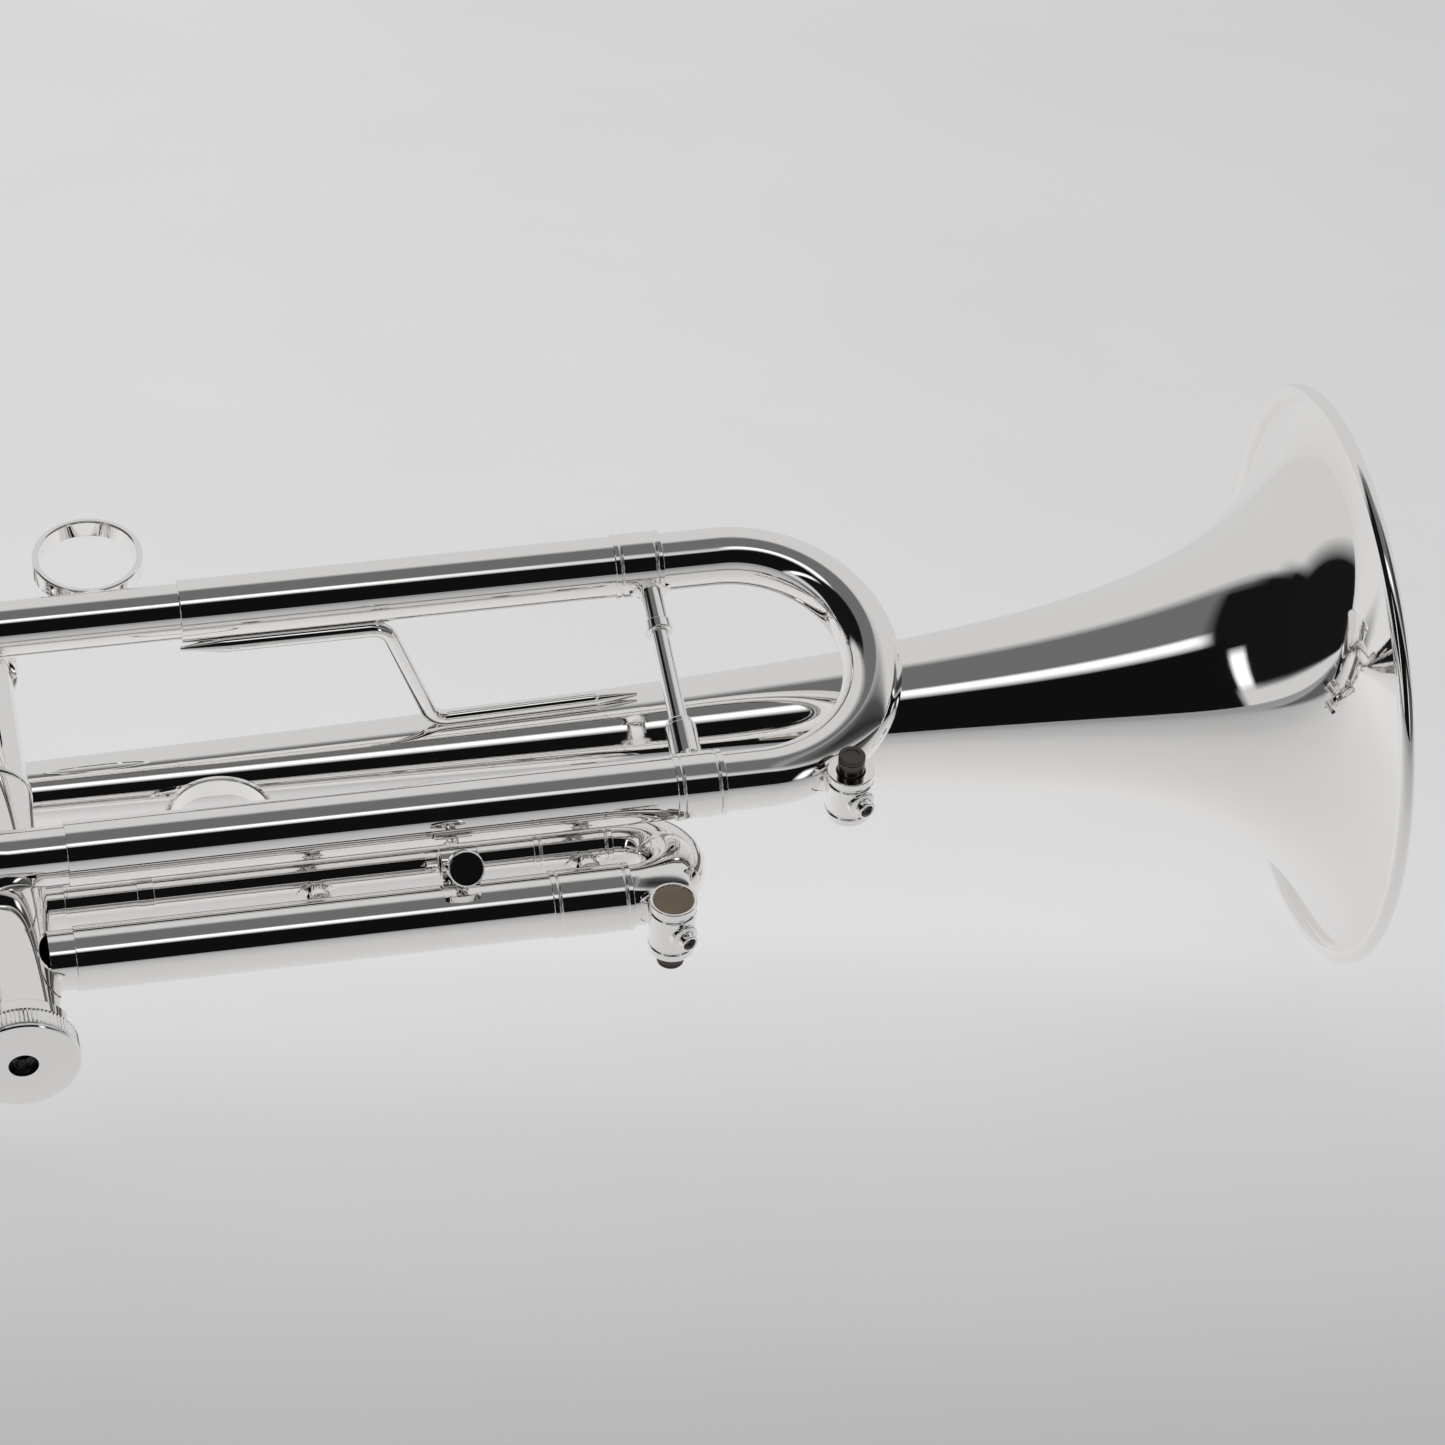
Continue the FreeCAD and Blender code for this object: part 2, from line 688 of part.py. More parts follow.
def bell_rim_wire():
    """The wire inside the rolled rim."""
    centre = Placement(Vector(-size("bead_radius"), 0, 0), ALONG_X)
    wire = ring("rim_wire", "Dims.bell_radius - Dims.bead_radius", "2 * Dims.wire_radius")
    return node(wire, "bell_rim_wire", BELL_FRAME * centre)


def bell_bow():
    """The bend behind the valves that turns the first valve's outlet into the bell."""
    upper = BELL_FRAME.multVec(Vector(-size("bell_length") - size("ferrule_length"), 0, 0))
    heading = BELL_FRAME.Rotation.multVec(X_AXIS)
    lower = Vector(upper.x, size("tail_y"), size("tail_z"))
    across = upper - lower
    across = across - heading * across.dot(heading)
    frame = Placement(upper - across * 0.5, Rotation(-heading, across, Vector(), "XYZ"))
    half = across.Length / 2
    reach = abs(upper.x - valve_x(1)) + 2
    solids = []
    for name, diameter in (("bow", "Dims.bow_outer"), ("bow_air", "Dims.bow_bore")):
        bend = ring(name + "_bend", "%f" % half, diameter, "180", frame * turn(Z_AXIS, -90))
        tail = rod(name + "_tail", diameter, "%f" % reach,
                   frame * Placement(Vector(0, -half, 0), BACK_X))
        neck = rod(name + "_neck", diameter, "Dims.ferrule_length",
                   frame * Placement(Vector(0, half, 0), BACK_X))
        solids.append(fuse(name, [bend, tail, neck]))
    tools = [solids[1]] + casing_envelope("bow_fit", 1)
    return node(cut("bow_cut", solids[0], tools), "bell_bow"), frame, half


bell()
bell_rim_wire()
bow, BOW_FRAME, BOW_HALF = bell_bow()


# ---------------------------------------------------------------- leadpipe and slides

def straight_tube(name, start, length, outer, bore):
    """A tube along the player's X from a start point."""
    frame = along_x(start.x, start.y, start.z)
    wall = rod(name, outer, length, frame)
    air = rod(name + "_bore", bore, length, frame)
    return cut(name + "_tube", wall, [air])


def mouthpiece_receiver():
    """The socket that takes the mouthpiece's tapered shank."""
    length = "Dims.receiver_front - Dims.receiver_rear"
    rear_of_pipe = "Dims.leadpipe_rear - Dims.receiver_rear"
    mouth, waist, nose = ("Dims.receiver_mouth / 2", "Dims.receiver_waist / 2",
                          "Dims.receiver_nose / 2")
    seat = "Dims.leadpipe_outer / 2 - 0.4"
    body = turned("receiver", [
        ("Dims.receiver_taper_mouth / 2", "0"), (mouth + " - 0.4", "0"), (mouth, "0.4"),
        (mouth, "3.4"), (waist, "4.6"), (waist, "18"), (waist + " + 0.5", "18.8"),
        (waist + " + 0.5", "20.4"), (waist, "21.2"), (nose, length), (seat, length),
        (seat, rear_of_pipe), ("Dims.receiver_taper_end / 2", rear_of_pipe)])
    frame = along_x(size("receiver_rear"), size("leadpipe_y"), size("leadpipe_z"))
    return node(body, "mouthpiece_receiver", frame)


def leadpipe():
    """The tapered pipe from the receiver to the tuning slide, sleeved into its outer tube."""
    length = "Dims.tuning_outer_rear - Dims.leadpipe_rear"
    outer, bore = "Dims.leadpipe_outer / 2", "Dims.leadpipe_bore / 2"
    body = turned("leadpipe_body", [
        (bore + " - 0.9", "0"), (outer + " - 0.4", "0"), (outer + " - 0.4", "12"),
        (outer, "120"), (outer, length), ("Dims.tube_bore / 2", length),
        ("Dims.tube_bore / 2", length + " + Dims.sleeve_overlap"),
        (bore, length + " + Dims.sleeve_overlap"), (bore, "120")])
    frame = along_x(size("leadpipe_rear"), size("leadpipe_y"), size("leadpipe_z"))
    return node(body, "leadpipe", frame)


def tuning_outer_tubes():
    upper = Vector(size("tuning_outer_rear"), TUNING_UPPER.y, TUNING_UPPER.z)
    lower = Vector(size("tuning_lower_rear"), TUNING_LOWER.y, TUNING_LOWER.z)
    node(straight_tube("upper_outer", upper, "Dims.tuning_upper_end - Dims.tuning_outer_rear",
                       "Dims.tube_outer", "Dims.tube_bore"), "tuning_upper_outer_tube")
    node(straight_tube("lower_outer", lower, "Dims.tuning_lower_end - Dims.tuning_lower_rear",
                       "Dims.tube_outer", "Dims.tube_bore"), "tuning_lower_outer_tube")


def tuning_entry_elbow():
    """The knuckle that turns the tuning slide's lower tube into the third valve."""
    y, z = size("tuning_lower_y"), size("tuning_lower_z")
    start = size("elbow_centre")
    reach = "Dims.tuning_lower_rear - Dims.elbow_centre"
    bend_frame = Placement(Vector(start, y + size("elbow_radius"), z),
                           Rotation(Vector(0, -1, 0), Vector(-1, 0, 0), Vector(), "XYZ"))
    walls = []
    for name, diameter in (("elbow", "Dims.elbow_outer"), ("elbow_air", "Dims.valve_bore - 1")):
        run = rod(name + "_run", diameter, reach + " + Dims.sleeve_overlap", along_x(start, y, z))
        bend = ring(name + "_bend", "Dims.elbow_radius", diameter, "Dims.elbow_angle", bend_frame)
        walls.append(fuse(name, [run, bend]))
    sleeve = rod("elbow_sleeve", "Dims.tube_bore", "Dims.sleeve_overlap",
                 along_x(size("tuning_lower_rear"), y, z))
    tools = [walls[1]] + casing_envelope("elbow_fit", 3)
    return node(cut("elbow_cut", fuse("elbow_wall", [walls[0], sleeve]), tools),
                "tuning_entry_elbow")


def slide(label, frame, half, inner_length):
    """The moving U of a slide: two inner tubes and the crook that joins them."""
    solids = []
    for name, diameter in ((label + "_u", "Dims.slide_outer"), (label + "_air", "Dims.slide_bore")):
        shapes = [ring(name + "_crook", half, diameter, "180", frame * turn(Z_AXIS, -90))]
        for side, offset in (("low", -amount(half)), ("high", amount(half))):
            leg = frame * Placement(Vector(-amount(inner_length), offset, 0), ALONG_X)
            shapes.append(rod("%s_%s" % (name, side), diameter, inner_length, leg))
        solids.append(fuse(name, shapes))
    return node(cut(label + "_cut", solids[0], [solids[1]]), label)


def half_width(lower, upper):
    return "%f" % ((upper - lower).Length / 2)


def third_outer_tubes():
    """Fixed tubes of the third slide, each with a thinner stub at the valve."""
    tubes = []
    for name, leg in (("third_upper", THIRD_UPPER), ("third_lower", THIRD_LOWER)):
        stub = rod(name + "_stub", "Dims.stub_outer", "Dims.third_outer_rear + 1",
                   along_x(0, leg.y, leg.z))
        tube = rod(name + "_wall", "Dims.tube_outer",
                   "Dims.third_outer_end - Dims.third_outer_rear",
                   along_x(size("third_outer_rear"), leg.y, leg.z))
        solids = [stub, tube]
        if leg is THIRD_UPPER:
            solids.append(rod(name + "_band", "Dims.tube_outer + 0.7", "Dims.band_length",
                              along_x(size("band_at"), leg.y, leg.z)))
        air = rod(name + "_air", "Dims.valve_bore - 1", "Dims.third_outer_rear + 4",
                  along_x(0, leg.y, leg.z))
        bore = rod(name + "_bore", "Dims.tube_bore",
                   "Dims.third_outer_end - Dims.third_outer_rear - 3",
                   along_x(size("third_outer_rear") + 3, leg.y, leg.z))
        tools = [air, bore] + casing_envelope(name + "_fit", 3)
        tubes.append(cut(name + "_tube", fuse(name, solids), tools))
    return node(group("third_outer", tubes), "third_slide_outer_tubes")


def side_outer_tubes(label, valve, lower, upper, pull, end):
    """Fixed tubes of the first or second slide, fitted to their casing."""
    tubes = []
    for name, leg in ((label + "_upper", upper), (label + "_lower", lower)):
        start = Vector(valve_x(valve), leg.y if abs(pull.x) > 0.5 else 0, leg.z)
        frame = axis_frame(start, pull)
        wall = rod(name + "_wall", "Dims.tube_outer", end, frame)
        air = rod(name + "_air", "Dims.valve_bore - 1", end, frame)
        bore = rod(name + "_bore", "Dims.tube_bore", end + " - 13.5",
                   frame * at(0, 0, 13.5))
        tools = [air, bore] + casing_envelope(name + "_fit", valve)
        tubes.append(cut(name + "_tube", wall, tools))
    return node(group(label + "_group", tubes), label)


def slide_ferrules():
    """The wider rings soldered over the open ends of the outer tubes, and the bell tail's joint."""
    rings = []
    places = [("tuning_upper", TUNING_UPPER, size("tuning_upper_end"), "Dims.ferrule_length"),
              ("tuning_lower", TUNING_LOWER, size("tuning_lower_end"), "Dims.ferrule_length"),
              ("third_upper", THIRD_UPPER, size("third_outer_end"), "Dims.third_ferrule_length"),
              ("third_lower", THIRD_LOWER, size("third_outer_end"), "Dims.third_ferrule_length")]
    for name, leg, end, length in places:
        start = Vector(end - amount(length), leg.y, leg.z)
        rings.append(straight_tube(name + "_ferrule", start, length, "Dims.ferrule_outer",
                                   "Dims.tube_outer"))
    for name, leg in (("first_upper", FIRST_UPPER), ("first_lower", FIRST_LOWER)):
        start = Vector(valve_x(1) - size("first_outer_end"), leg.y, leg.z)
        rings.append(straight_tube(name + "_ferrule", start, "Dims.ferrule_length",
                                   "Dims.ferrule_outer", "Dims.tube_outer"))
    for name, offset in (("bell_tail", -BOW_HALF), ("bell_joint", BOW_HALF)):
        frame = BOW_FRAME * Placement(Vector(-size("ferrule_length"), offset, 0), ALONG_X)
        wall = rod(name + "_ferrule", "Dims.ferrule_outer", "Dims.ferrule_length", frame)
        air = rod(name + "_bore", "Dims.bow_outer", "Dims.ferrule_length", frame)
        rings.append(cut(name + "_ring", wall, [air]))
    return node(group("ferrules", rings), "slide_ferrules")


mouthpiece_receiver()
leadpipe()
tuning_outer_tubes()
tuning_entry_elbow()
third_outer_tubes()
side_outer_tubes("first_slide_outer_tubes", 1, FIRST_LOWER, FIRST_UPPER, -X_AXIS,
                 "Dims.first_outer_end")
side_outer_tubes("second_slide_outer_tubes", 2, SECOND_LOWER, SECOND_UPPER, -Y_AXIS,
                 "Dims.second_outer_end")
slide_ferrules()

TUNING_HALF = half_width(TUNING_LOWER, TUNING_UPPER)
THIRD_HALF = half_width(THIRD_LOWER, THIRD_UPPER)
FIRST_HALF = half_width(FIRST_LOWER, FIRST_UPPER)
SECOND_HALF = half_width(SECOND_LOWER, SECOND_UPPER)


# ---------------------------------------------------------------- water keys

def key_frame(name):
    """Frame of a push-button water key: +Z is the way its button looks."""
    centre = Vector(size(name + "_key_x"), size(name + "_key_y"), size(name + "_key_z"))
    way = -Y_AXIS if name == "tuning" else Y_AXIS
    return axis_frame(centre, way)


def water_key(name, slide_u):
    """Barrel, sprung plunger with its button, and spring of one water key."""
    frame = key_frame(name)
    length = "Dims.%s_key_length" % name
    half = length + " / 2"
    outer, bore = "Dims.key_barrel_outer / 2", "Dims.key_barrel_bore / 2"
    hole, lip = "Dims.key_button_bore / 2", "Dims.key_lip"
    floor = "%s - (%s)" % (lip, half)
    barrel = turned(name + "_barrel", [
        ("0", "-(%s)" % half), (outer + " - 0.4", "-(%s)" % half), (outer, "0.4 - (%s)" % half),
        (outer, "1.6 - (%s)" % half), (outer + " - 0.35", "1.8 - (%s)" % half),
        (outer + " - 0.35", "2.3 - (%s)" % half), (outer, "2.5 - (%s)" % half),
        (outer, half + " - 2.5"), (outer + " - 0.35", half + " - 2.3"),
        (outer + " - 0.35", half + " - 1.8"), (outer, half + " - 1.6"), (outer, half + " - 0.4"),
        (outer + " - 0.4", half), (hole, half), (hole, half + " - " + lip),
        (bore, half + " - " + lip), (bore, floor), ("0", floor)])
    barrel.Placement = frame
    down = Placement(frame.Base, Rotation(Z_AXIS, Vector(0.35, 0, -1)))
    nipple = rod(name + "_nipple", "Dims.nipple_outer",
                 "Dims.key_barrel_outer / 2 + Dims.nipple_length", down)
    chamber = rod(name + "_chamber", "Dims.key_barrel_bore", length + " - 2 * " + lip,
                  frame * at(0, 0, amount(floor)))
    drain = rod(name + "_drain", "Dims.nipple_bore",
                "Dims.key_barrel_outer / 2 + Dims.nipple_length + 0.5", down)
    wall = fuse(name + "_barrel_wall", [barrel, nipple])
    node(cut(name + "_barrel_cut", wall, [chamber, drain] + slide_u), name + "_water_key_barrel")
    stem = "Dims.key_button / 2"
    top = half + " + Dims.key_proud"
    head = half + " - %s - 0.05" % lip
    plunger = turned(name + "_plunger", [
        ("0", head + " - 2.2"), ("Dims.key_plunger / 2", head + " - 2.2"),
        ("Dims.key_plunger / 2", head), (stem, head), (stem, top + " - 0.6"),
        (stem + " - 0.6", top), ("0", top)])
    node(plunger, name + "_water_key_button", frame)
    spring_room = "%s - 2.4 - (%s)" % (head, floor)
    spring = coil(name + "_key_coil", "Dims.key_spring_coil", "Dims.key_spring_wire",
                  "Dims.key_spring_pitch", spring_room)
    node(spring, name + "_water_key_spring", frame * at(0, 0, amount(floor) + 0.05))


def slide_solid(name, frame, half):
    """The outside of a crook, which the piece soldered on it is fitted to."""
    return [ring(name, half, "Dims.slide_outer", "180", frame * turn(Z_AXIS, -90))]


water_key("tuning", slide_solid("tuning_key_seat", TUNING_FRAME, TUNING_HALF))
water_key("third", slide_solid("third_key_seat", THIRD_FRAME, THIRD_HALF))
slide("tuning_slide", TUNING_FRAME, TUNING_HALF, "Dims.tuning_inner")
slide("third_slide", THIRD_FRAME, THIRD_HALF, "Dims.third_inner")
slide("first_slide", FIRST_FRAME, FIRST_HALF, "Dims.first_inner")
slide("second_slide", SECOND_FRAME, SECOND_HALF, "Dims.second_inner")


def second_slide_knob():
    """The pull knob on the second slide's crook."""
    knob = turned("second_knob", [
        ("0", "0"), ("Dims.knob_neck / 2 + 0.8", "0"), ("Dims.knob_neck / 2", "1.6"),
        ("Dims.knob_neck / 2", "3.2"), ("Dims.knob_outer / 2 - 0.5", "3.8"),
        ("Dims.knob_outer / 2", "4.4"), ("Dims.knob_outer / 2", "Dims.knob_length - 0.8"),
        ("Dims.knob_outer / 2 - 1", "Dims.knob_length"), ("0", "Dims.knob_length")])
    knob.Placement = SECOND_FRAME * Placement(
        Vector(amount(SECOND_HALF) + size("slide_outer") / 2 - 0.8, 0, 0), ALONG_X)
    seat = slide_solid("knob_seat", SECOND_FRAME, SECOND_HALF)
    return node(cut("second_knob_cut", knob, seat), "second_slide_knob")


def first_slide_saddle():
    """The thumb saddle: an open U on a foot over the first slide's upper tube."""
    radius, wall, width = size("saddle_radius"), size("saddle_wall"), size("saddle_width")
    x = valve_x(1) - size("saddle_at") - radius
    top_of_tube = size("first_upper_z") + size("slide_outer") / 2
    centre = Vector(x, size("first_y"), top_of_tube + radius + 1.4)
    frame = Placement(centre, Rotation(X_AXIS, Z_AXIS, Vector(), "XYZ"))
    outer = rod("saddle_outer", "2 * Dims.saddle_radius", "Dims.saddle_width",
                frame * at(0, 0, -width / 2))
    inner = rod("saddle_inner", "2 * (Dims.saddle_radius - Dims.saddle_wall)",
                "Dims.saddle_width + 2", frame * at(0, 0, -width / 2 - 1))
    above = block("saddle_above", "3 * Dims.saddle_radius", "2 * Dims.saddle_width",
                  "Dims.saddle_radius + 5", at(centre.x, centre.y, centre.z))
    foot = block("saddle_foot", "6", "5", "6", at(centre.x, centre.y, top_of_tube - 2))
    seat = rod("saddle_seat", "Dims.slide_outer", "40",
               along_x(x - 20, size("first_y"), size("first_upper_z")))
    cradle = cut("saddle_cradle", fuse("saddle_wall", [outer, foot]), [inner, above, seat])
    return node(cradle, "first_slide_saddle")


second_slide_knob()
first_slide_saddle()


# ---------------------------------------------------------------- rings, braces and lyre holder

def finger_ring(label, x, y, tube_z, tube_outer):
    """A finger ring standing on a tube, its axis across the instrument."""
    lift = amount(tube_outer) / 2 + size("ring_outer") / 2 + 0.5
    centre = Vector(x, y, tube_z + lift)
    frame = Placement(centre, Rotation(X_AXIS, Z_AXIS, Vector(), "XYZ"))
    half = size("ring_width") / 2
    outer = rod(label + "_outer", "Dims.ring_outer", "Dims.ring_width", frame * at(0, 0, -half))
    inner = rod(label + "_inner", "Dims.ring_outer - 2 * Dims.ring_wall", "Dims.ring_width + 2",
                frame * at(0, 0, -half - 1))
    foot = block(label + "_foot", "Dims.ring_foot_length", "Dims.ring_width", "3.2",
                 at(x, y, tube_z + amount(tube_outer) / 2 - 1.6))
    seat = rod(label + "_seat", tube_outer, "40", along_x(x - 20, y, tube_z))
    return node(cut(label + "_cut", fuse(label + "_solid", [outer, foot]), [inner, seat]), label)


def z_brace(label, lead_foot, lead_bend, bell_bend, bell_foot, lead_outer):
    """A rod bent like a Z from along the leadpipe, across, and then along the bell."""
    bell_bend_behind = size("bell_rim_x") - size(bell_bend)
    bell_axis_y = size("bell_y") - bell_bend_behind * math.tan(math.radians(size("bell_splay")))
    radius = size("brace_rod") / 2
    drop = size("brace_drop")
    reach = amount(lead_outer) / 2 + radius * 0.6
    lead = size("leadpipe_y") + math.sqrt(reach ** 2 - drop ** 2)
    foot_behind = size("bell_rim_x") - size(bell_foot)
    slope = bell_radius_at(foot_behind) - bell_radius_at(bell_bend_behind)
    bell_side = bell_axis_y - bell_radius_at(bell_bend_behind) - radius * 0.6
    height = size("leadpipe_z") - drop
    splay_run = (size(bell_foot) - size(bell_bend)) * math.tan(math.radians(size("bell_splay")))
    corners = [Vector(size(lead_foot), lead, height), Vector(size(lead_bend), lead, height),
               Vector(size(bell_bend), bell_side, height),
               Vector(size(bell_foot), bell_side + splay_run - slope, height)]
    path = filleted_path(corners, size("brace_bend"))
    start = Part.Wire(Part.makeCircle(radius, corners[0], corners[1] - corners[0]))
    rod_shape = path.makePipeShell([start], True, False)
    tips = []
    for here, inward in ((corners[0], corners[1]), (corners[3], corners[2])):
        away = here - inward
        away.normalize()
        tips.append(Part.makeCone(radius, radius * 0.25, size("brace_rod") * 2.6, here, away))
    feature = doc.addObject("Part::Feature", label + "_rod")
    lead_solid = Part.makeCylinder(amount(lead_outer) / 2, 400,
                                   Vector(-200, size("leadpipe_y"), size("leadpipe_z")), X_AXIS)
    shape = rod_shape.fuse(tips).cut(lead_solid).cut(bell_core())
    feature.Shape = max(shape.Solids, key=lambda solid: solid.Volume)
    return node(feature, label)


def bell_core():
    """The bell's outside as a filled solid, from 60 mm behind the rim to the bow."""
    steps, crowding = 12, 1.6
    begin, end = 60.0, size("bell_length")
    stations = [begin + (end - begin) * (step / steps) ** crowding for step in range(steps + 1)]
    outer = [Vector(-s, 0, bell_radius_at(s)) for s in stations]
    curve = Part.BSplineCurve()
    curve.interpolate(outer)
    first, last = Vector(outer[0].x, 0, 0), Vector(outer[-1].x, 0, 0)
    edges = [curve.toShape(), Part.LineSegment(outer[-1], last).toShape(),
             Part.LineSegment(last, first).toShape(), Part.LineSegment(first, outer[0]).toShape()]
    core = Part.Face(Part.Wire(Part.__sortEdges__(edges))).revolve(Vector(0, 0, 0), X_AXIS, 360)
    core.Placement = BELL_FRAME
    return core


def filleted_path(corners, radius):
    """Straight runs through corners, joined by tangent arcs."""
    edges = []
    start = corners[0]
    for before, corner, after in zip(corners, corners[1:], corners[2:]):
        into = (before - corner).normalize()
        out = (after - corner).normalize()
        angle = into.getAngle(out)
        reach = radius / math.tan(angle / 2)
        first, last = corner + into * reach, corner + out * reach
        bisector = (into + out).normalize()
        centre = corner + bisector * (radius / math.sin(angle / 2))
        middle = centre - bisector * radius
        edges.append(Part.LineSegment(start, first).toShape())
        edges.append(Part.Arc(first, middle, last).toShape())
        start = last
    edges.append(Part.LineSegment(start, corners[-1]).toShape())
    return Part.Wire(edges)


def diamond_foot(tube_axis, tube_outer, way, thickness, span=1.0):
    """A diamond-shaped saddle bent round a tube that runs along X."""
    length, width = size("foot_length") * span, size("foot_width") * span
    across = way.cross(X_AXIS)
    across.normalize()
    corners = [tube_axis + X_AXIS * length / 2, tube_axis + across * width / 2,
               tube_axis - X_AXIS * length / 2, tube_axis - across * width / 2]
    face = Part.Face(Part.makePolygon(corners + corners[:1]))
    prism = face.extrude(way * (tube_outer / 2 + thickness + 2))
    skin = Part.makeCylinder(tube_outer / 2 + thickness, 60, tube_axis - X_AXIS * 30, X_AXIS)
    tube = Part.makeCylinder(tube_outer / 2, 60, tube_axis - X_AXIS * 30, X_AXIS)
    return prism.common(skin).cut(tube)


def post_brace(low, high, tube, parts, span=1.0):
    """A turned post between two tubes along X, with a diamond foot on each.

    parts lists (diameter, end) of the post's turned sections, ends counted from the lower foot."""
    way = high - low
    way.normalize()
    begin = low + way * (tube / 2 - 0.4)
    sections = []
    done = 0.0
    for diameter, end in parts:
        sections.append(Part.makeCylinder(diameter / 2, end - done, begin + way * done, way))
        done = end
    post = sections[0].fuse(sections[1:])
    feet = [diamond_foot(low, tube, way, size("foot_wall"), span),
            diamond_foot(high, tube, -way, size("foot_wall"), span)]
    trim = [Part.makeCylinder(tube / 2, 60, end - X_AXIS * 30, X_AXIS) for end in (low, high)]
    return post.fuse(feet).cut(trim[0]).cut(trim[1]).removeSplitter()


def tuning_slide_brace():
    x = size("tuning_brace_x")
    low = Vector(x, TUNING_LOWER.y, TUNING_LOWER.z)
    high = Vector(x, TUNING_UPPER.y, TUNING_UPPER.z)
    ferrule = size("ferrule_outer")
    total = (high - low).Length - ferrule + 0.8
    socket = size("tuning_brace_socket_length")
    foot = size("tuning_brace_foot_length")
    parts = [(size("tuning_brace_foot"), foot), (size("tuning_brace_rod"), total - socket - 2.4),
             (size("tuning_brace_bead"), total - socket), (size("tuning_brace_socket"), total)]
    feature = doc.addObject("Part::Feature", "tuning_brace")
    feature.Shape = post_brace(low, high, ferrule, parts)
    return node(feature, "tuning_slide_brace")


def third_slide_braces():
    posts = []
    for x, tube in ((size("third_brace_x"), size("tube_outer")),
                    (size("third_brace_end_x"), size("ferrule_outer"))):
        low = Vector(x, THIRD_LOWER.y, THIRD_LOWER.z)
        high = Vector(x, THIRD_UPPER.y, THIRD_UPPER.z)
        total = (high - low).Length - tube + 0.8
        rod_size, bead = size("third_brace_rod"), size("third_brace_bead")
        parts = [(rod_size, total / 2 - 1.2), (bead, total / 2 + 1.2), (rod_size, total)]
        posts.append(post_brace(low, high, tube, parts, 0.95))
    feature = doc.addObject("Part::Feature", "third_braces")
    feature.Shape = Part.makeCompound(posts)
    return node(feature, "third_slide_braces")


def lyre_parts():
    """The lyre holder in front of the third slide's tubes, and its thumb screw."""
    x, length = size("lyre_x"), size("lyre_socket_length")
    centre = Vector(x, size("lyre_y"), size("lyre_z"))
    low = Vector(x, THIRD_LOWER.y, THIRD_LOWER.z)
    high = Vector(x, THIRD_UPPER.y, THIRD_UPPER.z)
    tube = size("tube_outer")
    socket = Part.makeCylinder(size("lyre_socket_outer") / 2, length,
                               centre - X_AXIS * length / 2, X_AXIS)
    arms, feet = [], []
    for leg in (low, high):
        way = centre - leg
        reach = way.Length
        way.normalize()
        arms.append(Part.makeCone(size("brace_rod") / 2 + 0.5, size("brace_rod") / 2 - 0.3,
                                  reach - tube / 2, leg + way * tube / 2, way))
        feet.append(diamond_foot(leg, tube, way, size("foot_wall"), 0.9))
    screw_way = Rotation(X_AXIS, size("lyre_screw_tilt")).multVec(-Y_AXIS)
    tapped = Part.makeCylinder(size("lyre_screw_thread") / 2 + 0.05, size("lyre_screw_length"),
                               centre, screw_way)
    hole = Part.makeCylinder(size("lyre_socket_bore") / 2, length + 2,
                             centre - X_AXIS * (length / 2 + 1), X_AXIS)
    holder = doc.addObject("Part::Feature", "lyre_holder_solid")
    holder.Shape = socket.fuse(arms + feet).cut(hole).cut(tapped).removeSplitter()
    node(holder, "lyre_holder")
    head = "Dims.lyre_screw_head / 2"
    neck_end = "Dims.lyre_screw_length - Dims.lyre_screw_head_length"
    screw = turned("lyre_thumb_screw", [
        ("0", "0"), ("Dims.lyre_screw_thread / 2", "0"), ("Dims.lyre_screw_thread / 2", neck_end),
        (head + " - 0.5", neck_end), (head, neck_end + " + 0.6"),
        (head, "Dims.lyre_screw_length - 1.6"), (head + " - 0.5", "Dims.lyre_screw_length - 0.8"),
        (head + " - 1.6", "Dims.lyre_screw_length - 0.2"), ("0", "Dims.lyre_screw_length")])
    start = centre + screw_way * (size("lyre_socket_bore") / 2 + 0.3)
    node(screw, "lyre_screw", axis_frame(start, screw_way))


finger_ring("pinky_ring", size("pinky_ring_x"), size("leadpipe_y"), size("leadpipe_z"),
            "Dims.leadpipe_outer")
finger_ring("third_slide_ring", size("third_ring_x"), size("third_upper_y"),
            size("third_upper_z"), "Dims.tube_outer")
z_brace("front_z_brace", "front_brace_lead_foot", "front_brace_lead_bend",
        "front_brace_bell_bend", "front_brace_bell_foot", "Dims.tube_outer")
z_brace("rear_z_brace", "rear_brace_lead_foot", "rear_brace_lead_bend",
        "rear_brace_bell_bend", "rear_brace_bell_foot", "Dims.leadpipe_outer")
tuning_slide_brace()
third_slide_braces()
lyre_parts()


# ---------------------------------------------------------------- check and export

doc.recompute()
for obj in doc.Objects:
    if "Invalid" in obj.State or "Error" in obj.State:
        raise RuntimeError("%s did not compute: %s" % (obj.Name, obj.State))
for obj in nodes:
    if obj.Shape.isNull() or not obj.Shape.isValid() or not obj.Shape.Solids:
        raise RuntimeError("%s has no valid solid" % obj.Label)

os.makedirs("parts", exist_ok=True)
for obj in nodes:
    obj.Shape.exportStep(os.path.join("parts", obj.Label + ".step"))
    bounds = obj.Shape.BoundBox
    print("%-28s solids %d  volume %9.1f  x %7.1f %7.1f  y %7.1f %7.1f  z %7.1f %7.1f" % (
        obj.Label, len(obj.Shape.Solids), obj.Shape.Volume, bounds.XMin, bounds.XMax,
        bounds.YMin, bounds.YMax, bounds.ZMin, bounds.ZMax))
print(len(nodes), "sub-parts")
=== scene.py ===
import json
import math

import bpy
from mathutils import Matrix, Vector


